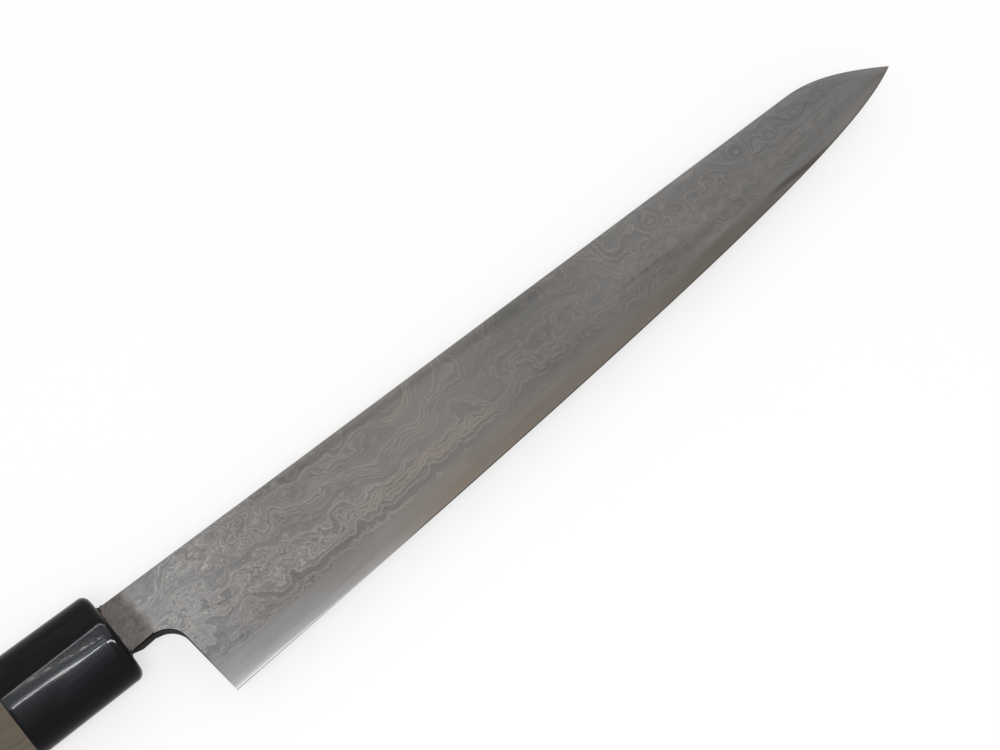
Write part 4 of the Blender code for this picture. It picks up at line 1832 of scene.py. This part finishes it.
    def crowned(self, start: Spot, end: Spot, turns: Spot, share: Value) -> Spot:
        """Return a place on the slightly crowned side between two arcs.

        Args:
            start: Where the side leaves the first arc.
            end: Where it meets the next arc.
            turns: Direction of the surface at both places.
            share: How far along the side the place is.

        Returns:
            The place on Y and Z.
        """
        across, up = end[0] - start[0], end[1] - start[1]
        length = (across * across + up * up) ** 0.5
        left = 1.0 - share
        near, far = share * left * left * length, share * share * left * length
        keep = left * left * (1.0 + share * 2.0)
        y = end[0] - across * keep - turns[0].sin() * near + turns[1].sin() * far
        z = end[1] - up * keep + turns[0].cos() * near - turns[1].cos() * far
        return y, z

    def tangent(self, graph: Graph, first: Circle, second: Circle) -> Value:
        """Return the direction in which two circles of the section reach equally far.

        Args:
            graph: The tree that the circles are in.
            first: Place on Y and Z and radius of the first circle.
            second: The same for the second one.

        Returns:
            The direction, in radians from +Y towards +Z.
        """
        across, up = second[0] - first[0], second[1] - first[1]
        gap = (across * across + up * up) ** 0.5
        lean = graph.maths("ARCCOSINE", (first[2] - second[2]) / gap)
        return graph.maths("ARCTAN2", up, across) - lean


@dataclass(frozen=True)
class Crumbs:
    """Rough crumbs of resin, scattered over the seal or over the neck ahead of it.

    Args:
        per_area: How many there are on a square metre.
        largest: Half size of the largest.
        on_seal: Whether they lie on the seal, which then stays in the result.
        least: Half size of the smallest.
        roughness: How far their surface is bent.
        seed: Seed of their places and sizes.
    """

    per_area: float
    largest: float
    on_seal: bool
    least: float = 0.07 * MM
    roughness: float = 0.10 * MM
    seed: int = 7


@dataclass
class Handle:
    """Magnolia grip, horn ferrule, resin seal and the pin that joins them."""

    shape: BladeShape
    neck: Neck
    section: HandleSection = field(default_factory=HandleSection)
    ridge: float = 3.8 * MM
    front_ridge: float = 6.6 * MM
    ferrule_rim: float = 2.0 * MM
    butt_rim: float = 1.4 * MM
    joint_rim: float = 0.14 * MM
    wall: float = 8.0 * MM
    slot_clearance: float = 0.7 * MM
    seal_depth: float = 3.0 * MM
    seal_proud: float = 0.3 * MM
    seal_gap: float = 0.001 * MM
    bead: tuple[Span, ...] = ((0.35, 0.75), (0.8, 0.5), (1.0, 0.25), (0.8, 0.08), (0.0, 0.0))
    smear: float = 1.9 * MM
    smear_gap: float = 0.02 * MM
    smear_rings: int = 6
    seal_crumbs: Crumbs = Crumbs(1.3e6, 0.30 * MM, True)
    neck_crumbs: Crumbs = Crumbs(1.6e7, 0.22 * MM, False)
    dowel_gap: float = 0.3 * MM
    cut_margin: float = 1.0 * MM
    bore_sides: int = 96
    end_lean: float = 0.999

    def rod(self, start: float, end: float, radius: float) -> BMesh:
        """Return a closed rod along X."""
        turns = [2 * math.pi * step / self.bore_sides for step in range(self.bore_sides)]
        return loft([[(x, radius * math.cos(turn), radius * math.sin(turn)) for turn in turns]
                     for x in (start, end)])

    def cut(self, mesh: Mesh, cutter: BMesh, finish: Material) -> Mesh:
        """Cut one closed body out of another.

        Args:
            mesh: The body that is cut.
            cutter: The body that is taken away, which is freed.
            finish: Material of the cut body.

        Returns:
            The mesh of what is left.
        """
        host = new_object("host", mesh, finish)
        knife = new_object("knife", finish_mesh("knife", cutter), finish)
        modifier = host.modifiers.new("cut", "BOOLEAN")
        modifier.operation, modifier.solver, modifier.object = "DIFFERENCE", "EXACT", knife
        made = evaluated_mesh(host)
        for spare in (host, knife):
            bpy.data.objects.remove(spare)
        return made

    def smooth(self, mesh: Mesh) -> Mesh:
        """Shade a mesh smooth, with its large end faces flat.

        Args:
            mesh: The mesh, which is changed.

        Returns:
            The same mesh.
        """
        mesh.shade_smooth()
        mesh.set_sharp_from_angle(angle=SHARP_RIM)
        for face in mesh.polygons:
            if abs(face.normal.x) > self.end_lean:
                face.use_smooth = False
        return mesh

    def build_ferrule(self) -> Object:
        """Build and dress the ferrule with its slot and its bore.

        Returns:
            The ferrule.
        """
        low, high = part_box("ferrule")
        finish = HornFinish().material()
        mesh = self.section.body("ferrule", low.x, high.x, (self.joint_rim, self.ferrule_rim),
                                 (self.ridge, self.front_ridge), finish)
        bottom = high.x - self.wall
        slot = loft([self.neck.neck_section(x, self.slot_clearance)
                     for x in (bottom - self.cut_margin, high.x, high.x + self.cut_margin)])
        mesh = self.cut(mesh, slot, finish)
        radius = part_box("dowel")[1].y + self.dowel_gap
        mesh = self.cut(mesh, self.rod(low.x - self.cut_margin, bottom, radius), finish)
        ferrule = new_object("horn_ferrule", self.smooth(mesh), finish)
        settle(ferrule, "ferrule")
        return ferrule

    def build_grip(self) -> None:
        """Build and dress the grip with its bore."""
        low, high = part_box("grip")
        dowel_low, dowel_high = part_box("dowel")
        finish = WoodFinish().material()
        mesh = self.section.body("grip", low.x, high.x, (self.butt_rim, self.joint_rim),
                                 (self.ridge, self.ridge), finish)
        rod = self.rod(dowel_low.x - self.dowel_gap, high.x + self.cut_margin,
                       dowel_high.y + self.dowel_gap)
        mesh = self.cut(mesh, rod, finish)
        settle(new_object("magnolia_grip", self.smooth(mesh), finish), "grip")

    def build_seal(self) -> None:
        """Build and dress the resin in the slot, with crumbs on its front and on the neck."""
        neck, face, spread = self.neck, self.shape.face_x, self.slot_clearance
        inner_end = face - self.seal_depth
        outer = [neck.neck_section(inner_end, spread), neck.neck_section(face, spread)]
        outer += [neck.neck_section(face + self.seal_proud * rise, spread * out + self.seal_gap)
                  for rise, out in self.bead]
        build = loft(outer, closed=False)
        back = [build.verts.new(spot) for spot in neck.neck_section(inner_end, self.seal_gap)]
        count = len(back)
        corners = list(build.verts)
        first, last = corners[:count], corners[-2 * count:-count]
        for index in range(count):
            after = (index + 1) % count
            build.faces.new((last[index], last[after], back[after], back[index]))
            build.faces.new((back[index], back[after], first[after], first[index]))
        collar = loft([neck.neck_section(face + self.smear * step / self.smear_rings,
                                         self.smear_gap)
                       for step in range(self.smear_rings + 1)], closed=False)
        finish = ResinFinish().material()
        both = bmesh.new()
        for name, crumbs, start in (("resin", self.seal_crumbs, build),
                                    ("smear", self.neck_crumbs, collar)):
            mesh = self.crumb_tree(face, crumbs).bake(name, finish, finish_mesh(name, start))
            both.from_mesh(mesh)
        mesh = bpy.data.meshes.new("resin_seal")
        both.to_mesh(mesh)
        both.free()
        settle(new_object("resin_seal", self.smooth(mesh), finish), "neck_seal")

    def crumb_tree(self, face: float, crumbs: Crumbs) -> NodeTree:
        """Return the tree that scatters crumbs on the seal, or ahead of it on the neck.

        Args:
            face: Place of the ferrule's front on X.
            crumbs: The crumbs.

        Returns:
            The tree.
        """
        tree = NodeTree("resin_crumbs",
                        {"Front": face, "Crumbs per area": crumbs.per_area,
                         "Least size": crumbs.least, "Largest size": crumbs.largest,
                         "Roughness": crumbs.roughness, "Smear": self.smear,
                         "Top": self.shape.spine_y, "Seed": crumbs.seed})
        graph, start = tree.graph, tree.source.outputs["Geometry"]
        place = graph.split(graph.node("GeometryNodeInputPosition").outputs[0])
        x, y, z = (term / MM for term in place)
        ahead = place[0] - tree.size("Front")
        if crumbs.on_seal:
            chosen = ahead
        else:
            patch = graph.noise(x * 0.9, y * 0.9, z * 0.9, seed=8.0)
            under = (tree.size("Top") - place[1]) / MM
            corner = (-(under * 0.45)).exp() + (-((13.4 - under) * 1.6).most(0.0)).exp() * 0.4
            chosen = graph.maths("GREATER_THAN", patch * 0.9 + corner * 0.60 - 0.60,
                                 ahead / tree.size("Smear") * 0.55)
        points = graph.node("GeometryNodeDistributePointsOnFaces", None, {
            "Mesh": start, "Density": tree.size("Crumbs per area"), "Seed": tree.size("Seed")})
        crumb = graph.node("GeometryNodeMeshIcoSphere", None, {"Radius": 1.0, "Subdivisions": 2})
        sizes = graph.node("FunctionNodeRandomValue", {"data_type": "FLOAT_VECTOR"}, {
            0: tree.size("Least size"), 1: tree.size("Largest size"), "Seed": tree.size("Seed")})
        set_down = graph.node("GeometryNodeInstanceOnPoints", None, {
            "Points": points.outputs["Points"], "Selection": chosen,
            "Instance": crumb.outputs["Mesh"], "Rotation": points.outputs["Rotation"],
            "Scale": sizes.outputs[0]})
        real = graph.node("GeometryNodeRealizeInstances", None, {"Geometry": set_down.outputs[0]})
        waves = [graph.noise(x * 3.0, y * 3.0, z * 3.0, seed=seed) - 0.5
                 for seed in (0.0, 3.0, 6.0)]
        offset = graph.vector(*(wave * tree.size("Roughness") * 2.0 for wave in waves))
        moved = graph.node("GeometryNodeSetPosition", None,
                           {"Geometry": real.outputs[0], "Offset": offset})
        joined = graph.node("GeometryNodeJoinGeometry")
        for part in ([start] if crumbs.on_seal else []) + [moved.outputs[0]]:
            graph.tree.links.new(part, joined.inputs[0])
        tree.close(joined.outputs[0])
        return tree

    def dress_dowel(self) -> None:
        """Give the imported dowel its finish, in place of the plain one."""
        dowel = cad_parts["dowel"]
        finish = PinFinish().material()
        if not dowel.material_slots:
            dowel.data.materials.append(finish)
        for slot in dowel.material_slots:
            slot.material = finish
        LOG.info("dowel: packed node with its own finish")

    def build(self) -> Object:
        """Build the pieces of the handle.

        Returns:
            The ferrule, which the studio's panels shine on.
        """
        ferrule = self.build_ferrule()
        self.build_grip()
        self.build_seal()
        self.dress_dowel()
        return ferrule


SKY_TINT: Colour = (0.90, 0.98, 1.14)
WARM_TINT: Colour = (1.0, 0.93, 0.86)


@dataclass(frozen=True)
class Panel:
    """Far light panel that only the polished ferrule mirrors.

    Args:
        turn: Direction of its middle across the handle, in degrees from +Y towards +Z, at its ends.
        lean: How far its ends are turned towards the point, in degrees.
        width: Its width, in degrees.
        level: Its brightness, where 1 is white.
        colour: Its tint.
    """

    turn: Span
    lean: Span
    width: float
    level: float
    colour: Colour = WHITE


@dataclass(frozen=True)
class Glow:
    """Soft light round the ferrule's highlights, as a panel of the same turn all along.

    Args:
        lean: The panel's lean.
        start: Direction of its upper border, in degrees from +Y towards +Z.
        depth: How far it reaches down from there, in degrees.
        level: The panel's level.
    """

    lean: Span
    start: float
    depth: float
    level: float

    def panel(self) -> Panel:
        """Return the light panel that gives this glow."""
        middle = self.start + self.depth / 2
        return Panel((middle, middle), self.lean, self.depth, self.level, SKY_TINT)


@dataclass
class Studio:
    """Pale floor, white surroundings, soft lamps and the camera."""

    ferrule: Object
    lens: float = 68.54
    sensor: float = 36.0
    nearest: float = 0.01
    camera_place: Point = (0.12201, -0.15779, 0.43493)
    camera_target: Point = (0.25327, -0.00648, 0.0)
    camera_roll: float = math.radians(1.04)
    floor_size: float = 6.0
    fill: float = 0.72
    key_distance: float = 1.3
    key_size: float = 0.6
    key_power: float = 6.8
    panel_distance: float = 1.5
    panels: tuple[Panel, ...] = (
        Panel((84.0, 84.0), (-15.0, 60.0), 74.0, 4.0, SKY_TINT),
        Panel((84.0, 84.0), (0.5, 60.0), 74.0, 0.7, SKY_TINT),
        Panel((84.0, 84.0), (1.6, 60.0), 74.0, 0.9, SKY_TINT),
        Panel((47.5, 50.0), (-4.0, 60.0), 4.4, 34.0),
        Panel((50.0, 100.0), (-0.7, 2.6), 0.35, 80.0, WARM_TINT),
        Panel((116.0, 121.5), (-3.0, 2.1), 3.2, 4.5, SKY_TINT),
        Panel((119.6, 122.6), (-3.0, -0.2), 0.60, 110.0),
        Panel((122.6, 126.1), (-0.2, 0.9), 0.60, 110.0),
        Panel((126.1, 128.1), (0.9, 3.8), 0.60, 110.0),
        Panel((127.3, 136.6), (2.3, 42.0), 2.8, 80.0),
    )
    glows: tuple[Glow, ...] = (
        Glow((-0.8, 4.0), 96.0, 25.0, 3.0), Glow((-0.8, 4.0), 111.0, 11.0, 4.0),
        Glow((-3.2, 4.0), 120.8, 13.2, 0.3), Glow((-3.2, 4.0), 120.8, 20.2, 0.4),
        Glow((-3.2, -1.0), 120.8, 4.5, 1.1), Glow((-3.2, -1.0), 120.8, 8.5, 0.65),
        Glow((-1.0, 0.2), 122.8, 4.5, 1.1), Glow((-1.0, 0.2), 122.8, 8.5, 0.65),
        Glow((0.2, 4.0), 125.8, 4.5, 1.9), Glow((0.2, 4.0), 125.8, 10.3, 1.3),
        Glow((0.2, 4.0), 125.8, 17.2, 0.45), Glow((0.2, 4.0), 125.8, 30.2, 0.3),
    )

    def aim(self, thing: Object, place: Vector, target: Vector, roll: float = 0.0) -> None:
        """Place a camera or lamp and turn it to look at a target.

        Args:
            thing: The object.
            place: Where it stands.
            target: What its -Z axis points at.
            roll: Turn about that axis.
        """
        turn = (target - place).to_track_quat("-Z", "Y").to_matrix().to_4x4()
        thing.matrix_world = Matrix.Translation(place) @ turn @ Matrix.Rotation(roll, 4, "Z")

    def add_camera(self) -> None:
        """Set up the camera at the photograph's viewing angle."""
        data = bpy.data.cameras.new("camera")
        data.lens, data.sensor_width, data.clip_start = self.lens, self.sensor, self.nearest
        camera = put_in_scene("camera", data)
        self.aim(camera, Vector(self.camera_place), Vector(self.camera_target), self.camera_roll)
        bpy.context.scene.camera = camera

    def add_key_lamp(self) -> None:
        """Add the soft lamp that shines on the knife from the camera's side."""
        target = Vector(self.camera_target)
        toward_camera = (Vector(self.camera_place) - target).normalized()
        data = bpy.data.lights.new("key", "AREA")
        data.shape, data.size, data.energy = "DISK", self.key_size, self.key_power
        lamp = put_in_scene("key", data)
        self.aim(lamp, target + toward_camera * self.key_distance, target)
        lamp.visible_glossy = False

    def panel_end(self, turn: float, lean: float) -> Vector:
        """Return where one end of a panel is, seen from the middle of the ferrule."""
        turn, lean = math.radians(turn), math.radians(lean)
        return self.panel_distance * Vector((math.tan(lean), math.cos(turn), math.sin(turn)))

    def add_panel(self, name: str, panel: Panel, polished: bpy.types.Collection) -> None:
        """Add a light panel that faces the ferrule, and that only polished pieces mirror.

        Args:
            name: The lamp's name.
            panel: Its place and its light.
            polished: The collection of the pieces that mirror it.
        """
        first, last = (self.panel_end(*end) for end in zip(panel.turn, panel.lean))
        along = (last - first).normalized()
        middle = (first + last) / 2
        outward = (middle - along * middle.dot(along)).normalized()
        data = bpy.data.lights.new(name, "AREA")
        data.shape, data.color, data.size = "RECTANGLE", panel.colour, (last - first).length
        data.size_y = 2.0 * self.panel_distance * math.tan(math.radians(panel.width) / 2)
        data.energy = 4.0 * data.size * data.size_y * panel.level
        lamp = put_in_scene(name, data)
        turned = Matrix((along, outward.cross(along), outward)).transposed().to_4x4()
        low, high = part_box("ferrule")
        lamp.matrix_world = Matrix.Translation((low + high) / 2 + middle) @ turned
        lamp.visible_camera = lamp.visible_diffuse = False
        lamp.light_linking.receiver_collection = polished

    def add_floor(self) -> None:
        """Add the floor that the knife lies on."""
        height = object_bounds()[0].z
        build = bmesh.new()
        bmesh.ops.create_grid(build, x_segments=1, y_segments=1, size=self.floor_size / 2,
                              matrix=Matrix.Translation((0.0, 0.0, height)))
        mesh = bpy.data.meshes.new("floor")
        build.to_mesh(mesh)
        build.free()
        new_object("floor", mesh, FloorFinish().material())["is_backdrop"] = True

    def add_world(self) -> None:
        """Surround the scene with white, which lights matte surfaces less."""
        world = bpy.data.worlds.new("surroundings")
        world.use_nodes = True
        world.node_tree.nodes.clear()
        graph = Graph(world.node_tree)
        sky = graph.node("ShaderNodeBackground", None,
                         {"Color": WHITE, "Strength": mix(self.fill, 1.0, seen_share(graph))})
        graph.node("ShaderNodeOutputWorld", None, {"Surface": sky.outputs[0]})
        bpy.context.scene.world = world

    def build(self) -> None:
        """Set the stage."""
        bpy.context.scene.view_settings.view_transform = "Standard"
        self.add_camera()
        self.add_floor()
        self.add_world()
        self.add_key_lamp()
        polished = bpy.data.collections.new("polished")
        polished.objects.link(self.ferrule)
        panels = self.panels + tuple(glow.panel() for glow in self.glows)
        for number, panel in enumerate(panels):
            self.add_panel(f"panel_{number}", panel, polished)
        LOG.info("studio: %d lamps", 1 + len(panels))


def main() -> None:
    """Build the knife and its studio in order."""
    logging.basicConfig(level=logging.INFO, format="%(name)s: %(message)s")
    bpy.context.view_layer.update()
    shape = BladeShape()
    neck = Neck(shape)
    Blade(shape).build()
    neck.build()
    ferrule = Handle(shape, neck).build()
    Studio(ferrule).build()


if __name__ == "__main__":
    main()
